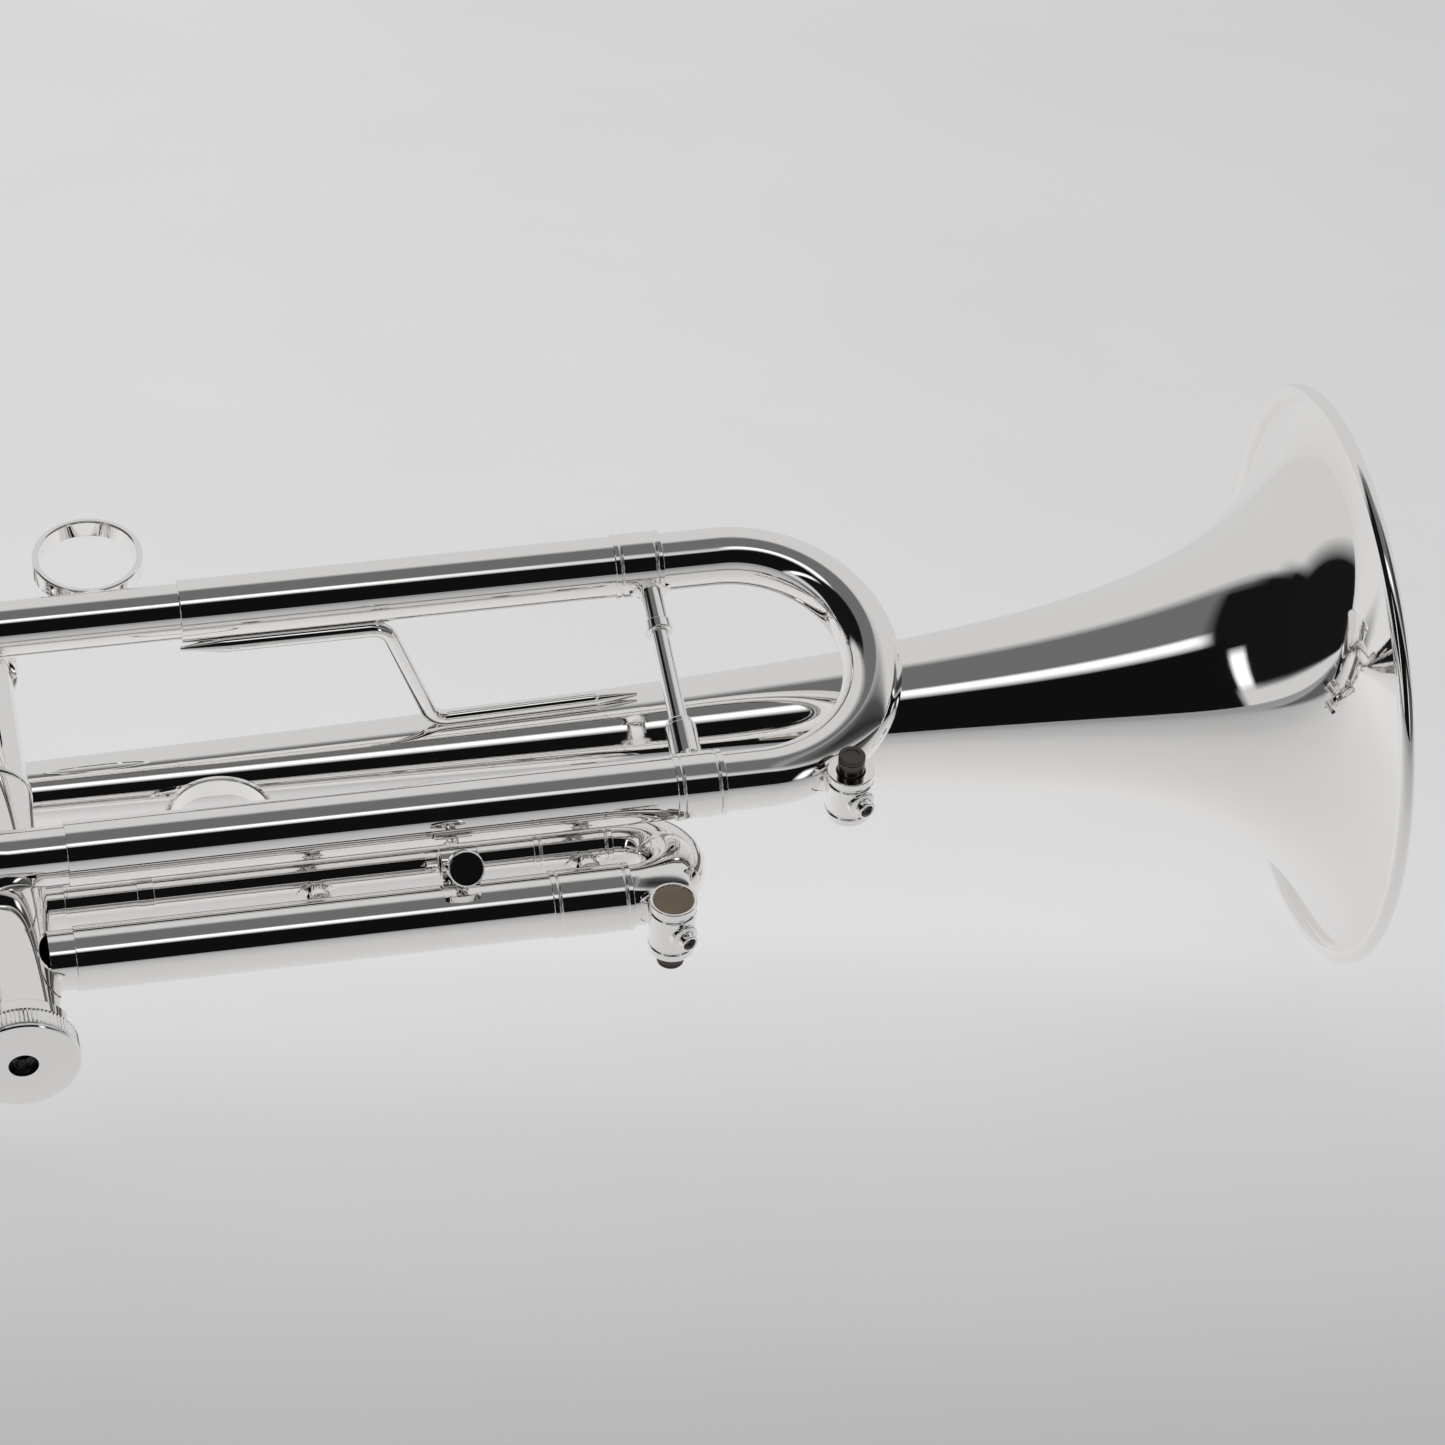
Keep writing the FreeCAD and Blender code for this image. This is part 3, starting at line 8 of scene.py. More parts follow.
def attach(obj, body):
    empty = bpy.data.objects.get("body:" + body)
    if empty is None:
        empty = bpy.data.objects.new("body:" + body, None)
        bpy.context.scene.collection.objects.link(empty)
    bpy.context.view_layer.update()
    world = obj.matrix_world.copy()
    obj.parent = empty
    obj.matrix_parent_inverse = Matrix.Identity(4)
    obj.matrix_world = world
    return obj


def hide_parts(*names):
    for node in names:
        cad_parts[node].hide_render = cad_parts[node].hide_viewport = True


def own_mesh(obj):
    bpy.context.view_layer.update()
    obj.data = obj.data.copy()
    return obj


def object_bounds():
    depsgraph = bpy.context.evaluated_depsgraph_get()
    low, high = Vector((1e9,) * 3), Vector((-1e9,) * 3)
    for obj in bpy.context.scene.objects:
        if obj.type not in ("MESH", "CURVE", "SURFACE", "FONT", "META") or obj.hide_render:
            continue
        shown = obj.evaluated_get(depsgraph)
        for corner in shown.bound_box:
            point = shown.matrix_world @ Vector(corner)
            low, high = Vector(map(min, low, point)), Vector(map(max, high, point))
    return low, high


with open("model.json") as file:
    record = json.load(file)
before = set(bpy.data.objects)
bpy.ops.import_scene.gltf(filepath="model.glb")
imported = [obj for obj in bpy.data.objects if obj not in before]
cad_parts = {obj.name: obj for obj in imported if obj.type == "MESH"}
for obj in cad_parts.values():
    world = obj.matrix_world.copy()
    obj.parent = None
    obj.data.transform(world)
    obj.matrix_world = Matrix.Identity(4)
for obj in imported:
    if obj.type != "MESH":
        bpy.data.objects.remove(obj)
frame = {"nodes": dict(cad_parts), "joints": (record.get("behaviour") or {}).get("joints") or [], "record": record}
CAD_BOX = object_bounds()
RECORD = frame["record"]
BODY_OF = {node: body for body, nodes in RECORD["behaviour"]["bodies"].items() for node in nodes}
SLOT_OF = {part["node"]: part["material_slot"] for part in RECORD["subparts"]}
MM = 0.001

# -------- the player's frame
# Sizes are written as a player holds the trumpet: X towards the bell, Y to the left, Z up to the
# buttons, origin at the foot of the third valve, in millimetres.

RECEIVER_MOUTH = Vector((-200.0, -23.5, 96.8))


def joint_axis(name):
    return Vector(next(joint["axis"] for joint in frame["joints"] if joint["name"] == name))


def player_frame():
    """The matrix that takes a point in the player's frame, in millimetres, to the row frame."""
    ahead = joint_axis("tuning_slide_pull").normalized()
    up = -joint_axis("valve_1_press").normalized()
    left = up.cross(ahead)
    axes = Matrix((ahead, left, up)).transposed()
    mouth = next(mount for mount in RECORD["mounts"] if mount["name"] == "mouthpiece_receiver")
    origin = Vector(mouth["pos_m"]) - axes @ RECEIVER_MOUTH * MM
    return Matrix.Translation(origin) @ (axes * MM).to_4x4()


PLAYER = player_frame()
PLAYER_TURN = PLAYER.to_3x3().normalized()


# -------- node helpers

class Nodes:
    """A small writer for shader node trees."""

    def __init__(self, tree):
        self.tree = tree
        tree.nodes.clear()

    def add(self, kind, inputs=None, **settings):
        made = self.tree.nodes.new(kind)
        for key, value in settings.items():
            setattr(made, key, value)
        for key, value in (inputs or {}).items():
            if isinstance(value, bpy.types.NodeSocket):
                self.tree.links.new(value, made.inputs[key])
            else:
                made.inputs[key].default_value = value
        return made

    def math(self, operation, first, second=0.0):
        return self.add("ShaderNodeMath", {0: first, 1: second}, operation=operation).outputs[0]

    def noise(self, coordinates, scale, detail=3.0, rough=0.55):
        inputs = {"Vector": coordinates, "Scale": scale, "Detail": detail, "Roughness": rough}
        return self.add("ShaderNodeTexNoise", inputs).outputs["Fac"]

    def stretched(self, coordinates, scale):
        return self.add("ShaderNodeMapping", {"Vector": coordinates, "Scale": scale}).outputs[0]

    def between(self, factor, low, high, start=0.3, end=0.7):
        """A number that goes from low to high as the factor goes from start to end."""
        return self.add("ShaderNodeMapRange", {"Value": factor, "From Min": start, "From Max": end,
                                               "To Min": low, "To Max": high}).outputs[0]

    def within(self, factor, low, high, soft):
        """One from low to high and zero outside, with soft edges."""
        rise = self.between(factor, 0.0, 1.0, low - soft, low + soft)
        fall = self.between(factor, 1.0, 0.0, high - soft, high + soft)
        return self.math("MULTIPLY", rise, fall)

    def ramp(self, factor, stops):
        made = self.add("ShaderNodeValToRGB", {"Fac": factor})
        ramp = made.color_ramp
        while len(ramp.elements) > 1:
            ramp.elements.remove(ramp.elements[-1])
        ramp.elements[0].position, ramp.elements[0].color = stops[0]
        for position, colour in stops[1:]:
            ramp.elements.new(position).color = colour
        return made.outputs["Color"]

    def mix(self, factor, first, second):
        inputs = {0: factor, 6: first, 7: second}
        return self.add("ShaderNodeMix", inputs, data_type="RGBA").outputs[2]

    def camera_ray(self):
        return self.add("ShaderNodeLightPath").outputs["Is Camera Ray"]

    def bump(self, height, strength, distance):
        return self.add("ShaderNodeBump", {"Height": height, "Strength": strength,
                                           "Distance": distance}).outputs[0]


def material(name):
    """A new material with its node writer and the piece's own coordinates, in metres."""
    made = bpy.data.materials.new(name)
    made.use_nodes = True
    nodes = Nodes(made.node_tree)
    return made, nodes, nodes.add("ShaderNodeTexCoord").outputs["Object"]


def finish_material(nodes, **sockets):
    inputs = {key.replace("_", " "): value for key, value in sockets.items()}
    shader = nodes.add("ShaderNodeBsdfPrincipled", inputs)
    nodes.add("ShaderNodeOutputMaterial", {"Surface": shader.outputs[0]})


def grey(value):
    return (value, value, value, 1.0)


# -------- materials

def silver_plate():
    """Mirror-polished silver: faint wiping marks along the tubes and a little warm tarnish."""
    made, nodes, place = material("silver_plate")
    smudges = nodes.noise(place, 38.0, 4.0)
    wipes = nodes.noise(nodes.stretched(place, (90.0, 1500.0, 1500.0)), 1.0, 2.0)
    tarnish = nodes.noise(place, 14.0, 5.0, 0.6)
    warm = nodes.between(tarnish, 0.0, 0.35, 0.55, 0.8)
    colour = nodes.mix(warm, (0.965, 0.952, 0.94, 1.0), (0.93, 0.9, 0.86, 1.0))
    sheen = nodes.between(smudges, 0.018, 0.05, 0.35, 0.75)
    rough = nodes.math("ADD", sheen, nodes.between(wipes, 0.0, 0.02, 0.5, 0.8))
    finish_material(nodes, Base_Color=colour, Metallic=1.0, Roughness=rough,
                    Normal=nodes.bump(wipes, 0.02, 0.00002))
    return made


def plain_metal(name, light, dark, low, high, grain):
    """A worked metal with its grain along one direction."""
    made, nodes, place = material(name)
    lines = nodes.noise(nodes.stretched(place, grain), 1.0, 3.0)
    patches = nodes.noise(place, 60.0, 3.0)
    colour = nodes.mix(nodes.between(patches, 0.0, 1.0), light, dark)
    finish_material(nodes, Base_Color=colour, Metallic=1.0,
                    Roughness=nodes.between(lines, low, high),
                    Normal=nodes.bump(lines, 0.08, 0.00003))
    return made


def felt():
    made, nodes, place = material("felt")
    fuzz = nodes.noise(place, 2600.0, 5.0, 0.7)
    mottle = nodes.noise(place, 500.0, 3.0)
    light, dark = (0.72, 0.70, 0.65, 1), (0.55, 0.53, 0.49, 1)
    colour = nodes.mix(nodes.between(mottle, 0.0, 1.0), light, dark)
    finish_material(nodes, Base_Color=colour, Roughness=0.95, Sheen_Weight=0.4,
                    Normal=nodes.bump(fuzz, 0.6, 0.0003))
    return made


def pearl():
    """Mother-of-pearl: cloudy layers with a faint pink and green play."""
    made, nodes, place = material("pearl")
    clouds = nodes.noise(nodes.stretched(place, (220.0, 90.0, 220.0)), 1.0, 5.0, 0.65)
    colour = nodes.ramp(clouds, [(0.3, (0.78, 0.80, 0.78, 1)), (0.45, (0.92, 0.90, 0.88, 1)),
                                 (0.55, (0.95, 0.86, 0.86, 1)), (0.7, (0.84, 0.90, 0.87, 1))])
    finish_material(nodes, Base_Color=colour, Roughness=0.12, Coat_Weight=0.8,
                    Coat_Roughness=0.04, Normal=nodes.bump(clouds, 0.08, 0.0002))
    return made


def nylon():
    made, nodes, place = material("nylon")
    grain = nodes.noise(place, 900.0, 3.0)
    colour = nodes.mix(grain, (0.86, 0.84, 0.78, 1), (0.80, 0.78, 0.70, 1))
    finish_material(nodes, Base_Color=colour, Roughness=nodes.between(grain, 0.35, 0.55),
                    Normal=nodes.bump(grain, 0.1, 0.0001))
    return made


FINISHES = {
    "silver_plate": silver_plate(),
    "piston_alloy": plain_metal("piston_alloy", (0.66, 0.64, 0.61, 1), (0.58, 0.56, 0.53, 1),
                                0.16, 0.3, (900.0, 60.0, 900.0)),
    "spring_steel": plain_metal("spring_steel", (0.6, 0.6, 0.61, 1), (0.5, 0.5, 0.51, 1),
                                0.2, 0.35, (700.0, 700.0, 700.0)),
    "key_button": plain_metal("key_button", (0.11, 0.095, 0.087, 1), (0.077, 0.066, 0.06, 1),
                              0.18, 0.34, (1200.0, 1200.0, 1200.0)),
    "key_plug": plain_metal("key_plug", (0.26, 0.21, 0.15, 1), (0.17, 0.135, 0.1, 1),
                            0.16, 0.3, (500.0, 500.0, 500.0)),
    "rim_wire": plain_metal("rim_wire", (0.8, 0.62, 0.36, 1), (0.7, 0.52, 0.3, 1),
                            0.25, 0.4, (800.0, 800.0, 800.0)),
    "felt": felt(),
    "pearl": pearl(),
    "guide": nylon(),
}


def finish_nodes():
    """Gives every CAD node the finish of its material slot."""
    for name, obj in frame["nodes"].items():
        obj.data.materials.clear()
        obj.data.materials.append(FINISHES[SLOT_OF[name]])


finish_nodes()


# -------- shapes

X_AXIS, Y_AXIS, Z_AXIS = Vector((1, 0, 0)), Vector((0, 1, 0)), Vector((0, 0, 1))
ROUNDING = 0.25       # how far along an edge its corner is softened, unless a piece says otherwise
CORNER_SHARE = 0.45   # the most of an edge that a corner takes
CORNER_STEPS = 4
BEND_STEP = 3.0       # degrees between the rings of a bend
LONG_RUN = 1000.0     # longer than any tube
HAIR = 0.05           # a gap too small to see


def place(origin, direction, side=None):
    """A matrix whose local Z looks along direction, and local X as near to side as it can."""
    ahead = Vector(direction).normalized()
    side = Vector(side) if side else (Z_AXIS if abs(ahead.z) < 0.9 else X_AXIS)
    across = (side - ahead * side.dot(ahead)).normalized()
    axes = Matrix((across, ahead.cross(across), ahead)).transposed()
    return Matrix.Translation(Vector(origin)) @ axes.to_4x4()


class Path:
    """A centre line of straight runs and bends, followed like a turtle along its local Z."""

    def __init__(self, start):
        self.start = start
        self.pieces = []
        self.length = 0.0

    def run(self, length):
        self.pieces.append((self.length, length, None, None))
        self.length += length
        return self

    def bend(self, radius, degrees, side=0.0):
        """side is the direction of the bend's centre, in degrees about Z from local X."""
        toward = Vector((math.cos(math.radians(side)), math.sin(math.radians(side)), 0))
        length = radius * math.radians(degrees)
        self.pieces.append((self.length, length, radius, toward))
        self.length += length
        return self

    def stops(self):
        """Where the outline needs a ring of points: the ends of runs, and every step of a bend."""
        for begin, length, radius, _ in self.pieces:
            count = 1
            if radius is not None:
                count = max(2, round(math.degrees(length / radius) / BEND_STEP))
            for index in range(count):
                yield begin + length * index / count

    def at(self, along):
        """The place and turn some way along. A run at the path's end goes straight on past it."""
        here = self.start
        for begin, length, radius, toward in self.pieces:
            reach = min(max(along - begin, 0.0), length)
            last = begin + length >= self.length
            if radius is None:
                over = along - self.length if last and along > self.length else 0.0
                under = along if begin == 0.0 and along < 0.0 else 0.0
                here = here @ Matrix.Translation(Z_AXIS * (reach + over + under))
            else:
                centre = toward * radius
                turn = Matrix.Rotation(reach / radius, 4, Z_AXIS.cross(toward))
                here = here @ Matrix.Translation(centre) @ turn @ Matrix.Translation(-centre)
            if along < begin + length:
                return here
        return here


def straight(origin, direction):
    return Path(place(origin, direction)).run(LONG_RUN)


def rounded(corners, rounding):
    """Points and normals of the closed outline through (radius, height) corners, softened."""
    points = []
    count = len(corners)
    for index, corner in enumerate(corners):
        here = Vector(corner)
        before, after = Vector(corners[index - 1]), Vector(corners[(index + 1) % count])
        back, ahead = before - here, after - here
        if here.x == 0.0:
            edge = ahead if after.x > 0.0 else -back
            points.append((here, Vector((edge.y, -edge.x)).normalized()))
            continue
        reach = min(rounding, CORNER_SHARE * back.length, CORNER_SHARE * ahead.length)
        back, ahead = back.normalized() * reach, ahead.normalized() * reach
        for step in range(CORNER_STEPS + 1):
            t = step / CORNER_STEPS
            slope = ahead * t - back * (1 - t)
            spot = here + back * (1 - t) ** 2 + ahead * t ** 2
            points.append((spot, Vector((slope.y, -slope.x)).normalized()))
    return points


def with_stops(points, stops):
    """Adds points on long edges wherever the path bends."""
    stops = sorted(stops)
    full = []
    for (here, normal), (after, after_normal) in zip(points, points[1:] + points[:1]):
        full.append((here, normal))
        span = after.y - here.y
        if abs(span) < 1e-6 or (here.x == 0.0 and after.x == 0.0):
            continue
        low, high = min(here.y, after.y) + HAIR, max(here.y, after.y) - HAIR
        inside = [stop for stop in stops if low < stop < high]
        for stop in inside if span > 0 else reversed(inside):
            t = (stop - here.y) / span
            full.append((here.lerp(after, t), normal.lerp(after_normal, t).normalized()))
    return full


class Shape:
    """Collects the surfaces of one piece, in the player's frame."""

    def __init__(self):
        self.points, self.normals, self.faces = [], [], []

    def add(self, point, normal):
        self.points.append(point)
        self.normals.append(normal)
        return len(self.points) - 1

    def turned(self, corners, path, segments=72, rounding=ROUNDING, outline=None, cope=None,
               wave=None):
        """A surface turned about a path, from the (radius, height) corners of its section.

        outline gives ready points and normals instead, cope moves points, wave adds to the radius.
        """
        outline = outline or with_stops(rounded(corners, rounding), path.stops())
        rings = []
        for (radius, height), normal in outline:
            here = path.at(height)
            turn = here.to_3x3()
            on_axis = radius < 1e-6
            ring = []
            for index in range(1 if on_axis else segments):
                angle = 2 * math.pi * index / segments
                around = Vector((math.cos(angle), math.sin(angle), 0))
                wide = radius + (wave(height, angle) if wave else 0.0)
                point = here @ (around * wide)
                if cope:
                    point = cope(point, turn.col[2])
                ring.append(self.add(point, turn @ (around * normal.x + Z_AXIS * normal.y)))
            rings.append(ring)
        for first, second in zip(rings, rings[1:] + rings[:1]):
            self.join(first, second)
        return self

    def join(self, first, second):
        if len(first) == 1 and len(second) == 1:
            return
        count = max(len(first), len(second))
        for index in range(count):
            after = (index + 1) % count
            if len(first) == 1:
                self.faces.append((first[0], second[after], second[index]))
            elif len(second) == 1:
                self.faces.append((first[index], first[after], second[0]))
            else:
                self.faces.append((first[index], first[after], second[after], second[index]))

    def tube(self, path, outer, bore, low=0.0, high=None, **options):
        """A pipe round the path, between two places along it."""
        high = path.length if high is None else high
        corners = [(bore / 2, low), (outer / 2, low), (outer / 2, high), (bore / 2, high)]
        return self.turned(corners, path, **options)

    def foot(self, on_tube, way, radius, length, width, thickness):
        """A diamond plate bent round a tube that runs along X, measured from its middle."""
        way = Vector(way).normalized()
        across = way.cross(X_AXIS).normalized()
        segments, softness, sunk = 48, 0.06, -0.3
        steps = ((0.0, 1.0), (0.55, 1.0), (0.8, 0.96), (0.93, 0.8), (1.0, 0.45), (1.0, sunk),
                 (0.5, sunk), (0.0, sunk))
        rings = []
        for out, rise in steps:
            lift = radius + thickness * rise
            ring = []
            for index in range(1 if out == 0.0 else segments):
                angle = 2 * math.pi * index / segments
                diamond = abs(math.cos(angle)) + abs(math.sin(angle))
                reach = out / (diamond + softness * math.sin(2 * angle) ** 2)
                along = length * reach * math.cos(angle)
                swing = width * reach * math.sin(angle) / radius
                up = way * math.cos(swing) + across * math.sin(swing)
                ring.append(self.add(Vector(on_tube) + X_AXIS * along + up * lift, up))
            rings.append(ring)
        for first, second in zip(rings, rings[1:]):
            self.join(second, first)
        return self


def linked(name, data):
    obj = bpy.data.objects.new(name, data)
    bpy.context.scene.collection.objects.link(obj)
    return obj


def piece(node, shape, crease=None):
    """The fine mesh that stands for a CAD node, riding on the node's own body.

    It is shaded by the shape's own normals, or with sharp edges past an angle where crease is set.
    """
    mesh = bpy.data.meshes.new(node + "_fine")
    mesh.from_pydata([PLAYER @ point for point in shape.points], [], shape.faces)
    mesh.polygons.foreach_set("use_smooth", [True] * len(mesh.polygons))
    if crease is None:
        normals = [(PLAYER_TURN @ normal).normalized() for normal in shape.normals]
        mesh.normals_split_custom_set_from_vertices(normals)
    else:
        mesh.set_sharp_from_angle(angle=math.radians(crease))
    mesh.materials.append(FINISHES[SLOT_OF[node]])
    obj = linked(node + "_fine", mesh)
    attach(obj, BODY_OF[node])
    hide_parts(node)
    return obj


# -------- sizes, in millimetres

VALVES = {1: -50.0, 2: -25.0, 3: 0.0}
CASING, CASING_BORE, CASING_LOW, CASING_TOP = 18.6, 17.0, 3.0, 112.0
CROSSOVER, CROSSOVER_HEIGHTS = 12.0, {3: 58.0, 2: 31.0}
BAND_Z, BAND_HEIGHT, BAND = 71.5, 2.6, 19.4
CAP, CAP_HEIGHT, CAP_VENT = 22.3, 8.0, 5.8
TOP_CAP, TOP_CAP_Z, TOP_CAP_HEIGHT, TOP_CAP_NECK = 21.4, 107.5, 10.5, 8.4
STEM, FELT, FELT_HEIGHT, FELT_Z = 4.2, 11.0, 2.4, 134.8
BUTTON, BUTTON_Z, BUTTON_HEIGHT, PEARL, PEARL_HEIGHT = 15.4, 137.2, 5.6, 12.4, 1.5
BARREL_TOP = 108.3
OUTER, OUTER_BORE, INNER, INNER_BORE, BORE = 12.8, 12.2, 12.1, 11.5, 10.5
KNUCKLE, THIRD_KNUCKLE = 11.8, 11.9
FERRULE, FERRULE_LENGTH, THIRD_FERRULE_LENGTH = 13.5, 10.0, 16.0
LEAD_Y, LEAD_Z, LEAD, LEAD_BORE, LEAD_REAR = -23.5, 96.8, 11.6, 10.6, -176.0
TUNING_Y, TUNING_Z, TUNING_CROOK = -11.9, 43.4, 152.6
TUNING_UPPER, TUNING_LOWER = (42.6, 141.3), (13.4, 144.1)
THIRD_UPPER, THIRD_LOWER = (4.4, 45.8), (-2.5, 24.1)
THIRD_REAR, THIRD_END, THIRD_CROOK = 12.6, 122.0, 121.9
FIRST_Y, FIRST_Z, FIRST_END, FIRST_CROOK = -3.0, (74.0, 52.0), 49.0, 62.6
SECOND_Z, SECOND_END, SECOND_CROOK = (52.0, 30.0), 24.0, 28.5
INNER_LEGS = {"tuning": 84.0, "third": 82.0, "first": 44.0, "second": 15.0}
BELL_RIM = Vector((287.0, 23.0, 90.9))
BELL_RADIUS, BELL_THROAT, BELL_THROAT_AT, BELL_OFFSET, BELL_POWER = 62.47, 8.54, 254.0, 14.37, 0.68
BELL_LENGTH, BELL_WALL, BELL_SPLAY, BEAD = 427.0, 0.6, 0.79, 1.7
BOW, BOW_BORE, TAIL_Y, TAIL_Z = 12.4, 11.5, -3.5, 36.5
RING, RING_WALL, RING_WIDTH = 22.5, 1.3, 4.2
BRACE_RADIUS, BRACE_BEND, BRACE_DROP, POST_SUNK = 1.7, 4.5, 5.0, 0.4
FOOT_LENGTH, FOOT_WIDTH, FOOT_THICKNESS = 8.6, 7.0, 0.9
KEY_BARREL, KEY_BUTTON, KEY_PROUD, KEY_LIP = 9.4, 5.4, 4.0, 1.0
# Each water key's centre, the way its button stands out, and its barrel's length.
KEYS = {"tuning": (Vector((168.7, -11.9, 37.3)), -Y_AXIS, 11.4),
        "third": (Vector((128.9, -2.5, 15.7)), Y_AXIS, 13.0)}


# -------- valves

def upright(number):
    return straight((VALVES[number], 0, 0), Z_AXIS)


def coped(number):
    """Stops a tube's points inside a casing's wall, sliding them back along the tube."""
    radius = CASING / 2 - 0.3

    def stop(point, ahead):
        offset = Vector((point.x - VALVES[number], point.y, 0))
        if offset.length >= radius:
            return point
        flat = Vector((ahead.x, ahead.y, 0))
        along, square = offset.dot(flat), flat.dot(flat)
        root = math.sqrt(max(along ** 2 - square * (offset.dot(offset) - radius ** 2), 0.0))
        back, onward = (-along - root) / square, (-along + root) / square
        shift = back if abs(back) < abs(onward) else onward
        return point + ahead * shift
    return stop


KNURL_ROWS = 4
TOOTH_POINTS = 5


def knurl(low, high, teeth, depth):
    """Fine upright grooves cut in a band of a turned piece."""
    def wave(height, angle):
        inside = low < height < high
        return -depth * (0.5 - 0.5 * math.cos(teeth * angle)) if inside else 0.0
    return wave


def casing(number):
    outer, bore, band = CASING / 2, CASING_BORE / 2, BAND / 2
    top, slope = BAND_Z + BAND_HEIGHT, 0.6
    corners = [(bore, CASING_LOW), (outer, CASING_LOW), (outer, BAND_Z), (band, BAND_Z + slope),
               (band, top - slope), (outer, top), (outer, CASING_TOP), (bore, CASING_TOP)]
    piece("valve_casing_%d" % number, Shape().turned(corners, upright(number), 128, 0.4))


def bottom_caps():
    """Screwed caps with a knurled edge and a vent."""
    rim, vent, fit = CAP / 2, CAP_VENT / 2, CASING / 2
    low, high, teeth, depth = 1.3, 4.6, 84, 0.32
    bead, groove, neck = rim - 0.1, rim - 0.35, rim - 0.4
    face = [(vent, 0.0), (rim - 0.5, 0.0), (bead, 0.3), (bead, 0.7), (groove, 0.9), (groove, 1.1)]
    band = [(rim, low + (high - low) * step / KNURL_ROWS) for step in range(KNURL_ROWS + 1)]
    rest = [(neck, high + 0.4), (neck, CAP_HEIGHT - 0.6), (neck - 0.6, CAP_HEIGHT),
            (fit, CAP_HEIGHT), (fit, CASING_LOW), (vent, CASING_LOW - 1.0)]
    wave = knurl(low - HAIR, high + HAIR, teeth, depth)
    shape = Shape()
    for number in VALVES:
        shape.turned(face + band + rest, upright(number), teeth * TOOTH_POINTS, 0.12, wave=wave)
    piece("bottom_caps", shape, crease=42)


def top_caps():
    """Screwed caps with a knurled edge, a shoulder and a neck that the stem runs through."""
    rim, neck, hole, fit = TOP_CAP / 2, TOP_CAP_NECK / 2, STEM / 2 + 0.1, CASING / 2
    base, top = TOP_CAP_Z, TOP_CAP_Z + TOP_CAP_HEIGHT
    low, high, teeth, depth = base + 0.8, base + 4.2, 80, 0.3
    edge = rim - 0.3
    band = [(rim, low + (high - low) * step / KNURL_ROWS) for step in range(KNURL_ROWS + 1)]
    rest = [(edge, high + 0.3), (rim - 0.6, base + 5.2), (rim - 1.4, base + 6.6),
            (neck + 3.0, top - 2.6), (neck + 0.4, top - 1.8), (neck, top - 1.0), (neck, top),
            (hole, top), (hole, base + 5.4), (fit, high + 0.3)]
    corners = [(fit, base), (edge, base), (edge, base + 0.5)] + band + rest
    wave = knurl(low - HAIR, high + HAIR, teeth, depth)
    shape = Shape()
    for number in VALVES:
        shape.turned(corners, upright(number), teeth * TOOTH_POINTS, 0.15, wave=wave)
    piece("top_caps", shape, crease=42)


def stem_pieces(number):
    """A valve's stem, the felt on it, the finger button and its pearl."""
    path, thin, collar = upright(number), STEM / 2, STEM / 2 + 1.6
    top, stem_top = BUTTON_Z + BUTTON_HEIGHT, BUTTON_Z + 2.6
    piece("valve_stem_%d" % number, Shape().turned(
        [(0.0, BARREL_TOP - 1.5), (thin, BARREL_TOP - 1.5), (thin, BARREL_TOP),
         (collar, BARREL_TOP), (collar, BARREL_TOP + 1.2), (thin, BARREL_TOP + 1.8),
         (thin, stem_top), (0.0, stem_top)], path, 48))
    piece("stem_felt_%d" % number, Shape().turned(
        [(thin, FELT_Z), (FELT / 2, FELT_Z), (FELT / 2, FELT_Z + FELT_HEIGHT),
         (thin, FELT_Z + FELT_HEIGHT)], path, 64, 0.5))
    rim, seat, bed = BUTTON / 2, PEARL / 2, top - PEARL_HEIGHT
    piece("finger_button_%d" % number, Shape().turned(
        [(thin, BUTTON_Z), (FELT / 2, BUTTON_Z), (FELT / 2 + 0.3, BUTTON_Z + 1.4),
         (rim - 0.6, top - 3.0), (rim, top - 1.9), (rim, top), (seat + 0.05, top), (seat, bed),
         (0.0, bed), (0.0, stem_top), (thin, stem_top)], path, 96, 0.45))
    dish = [(0.0, bed), (seat, bed), (seat, top - 0.05), (seat - 1.2, top - 0.4),
            (seat - 3.2, top - 0.62), (0.0, top - 0.7)]
    piece("pearl_inlay_%d" % number, Shape().turned(dish, path, 96, 0.9))


def crossover_tubes():
    """Straight tubes between neighbouring casings, each in two halves that fit its two casings."""
    shape, inside = Shape(), 7.0
    for front, height in CROSSOVER_HEIGHTS.items():
        behind = VALVES[front - 1]
        path = straight((behind, 0, height), X_AXIS)
        middle = (VALVES[front] - behind) / 2
        for number, low, high in ((front - 1, inside, middle),
                                  (front, middle, middle * 2 - inside)):
            shape.tube(path, CROSSOVER, BORE, low, high, cope=coped(number), rounding=0.01)
    piece("crossover_tubes", shape)


for valve in VALVES:
    casing(valve)
    stem_pieces(valve)
bottom_caps()
top_caps()
crossover_tubes()


# -------- bell and bow

BELL_WAY = Vector((math.cos(math.radians(BELL_SPLAY)), math.sin(math.radians(BELL_SPLAY)), 0))
BELL_STEPS, BELL_CROWDING, BELL_SEGMENTS = 90, 2.4, 256


def horn_radius(behind):
    """The horn's outer radius some way behind the rim: a power law, as in a Bessel horn."""
    reach = (BELL_THROAT_AT + BELL_OFFSET) / (behind + BELL_OFFSET)
    return BELL_THROAT * reach ** BELL_POWER


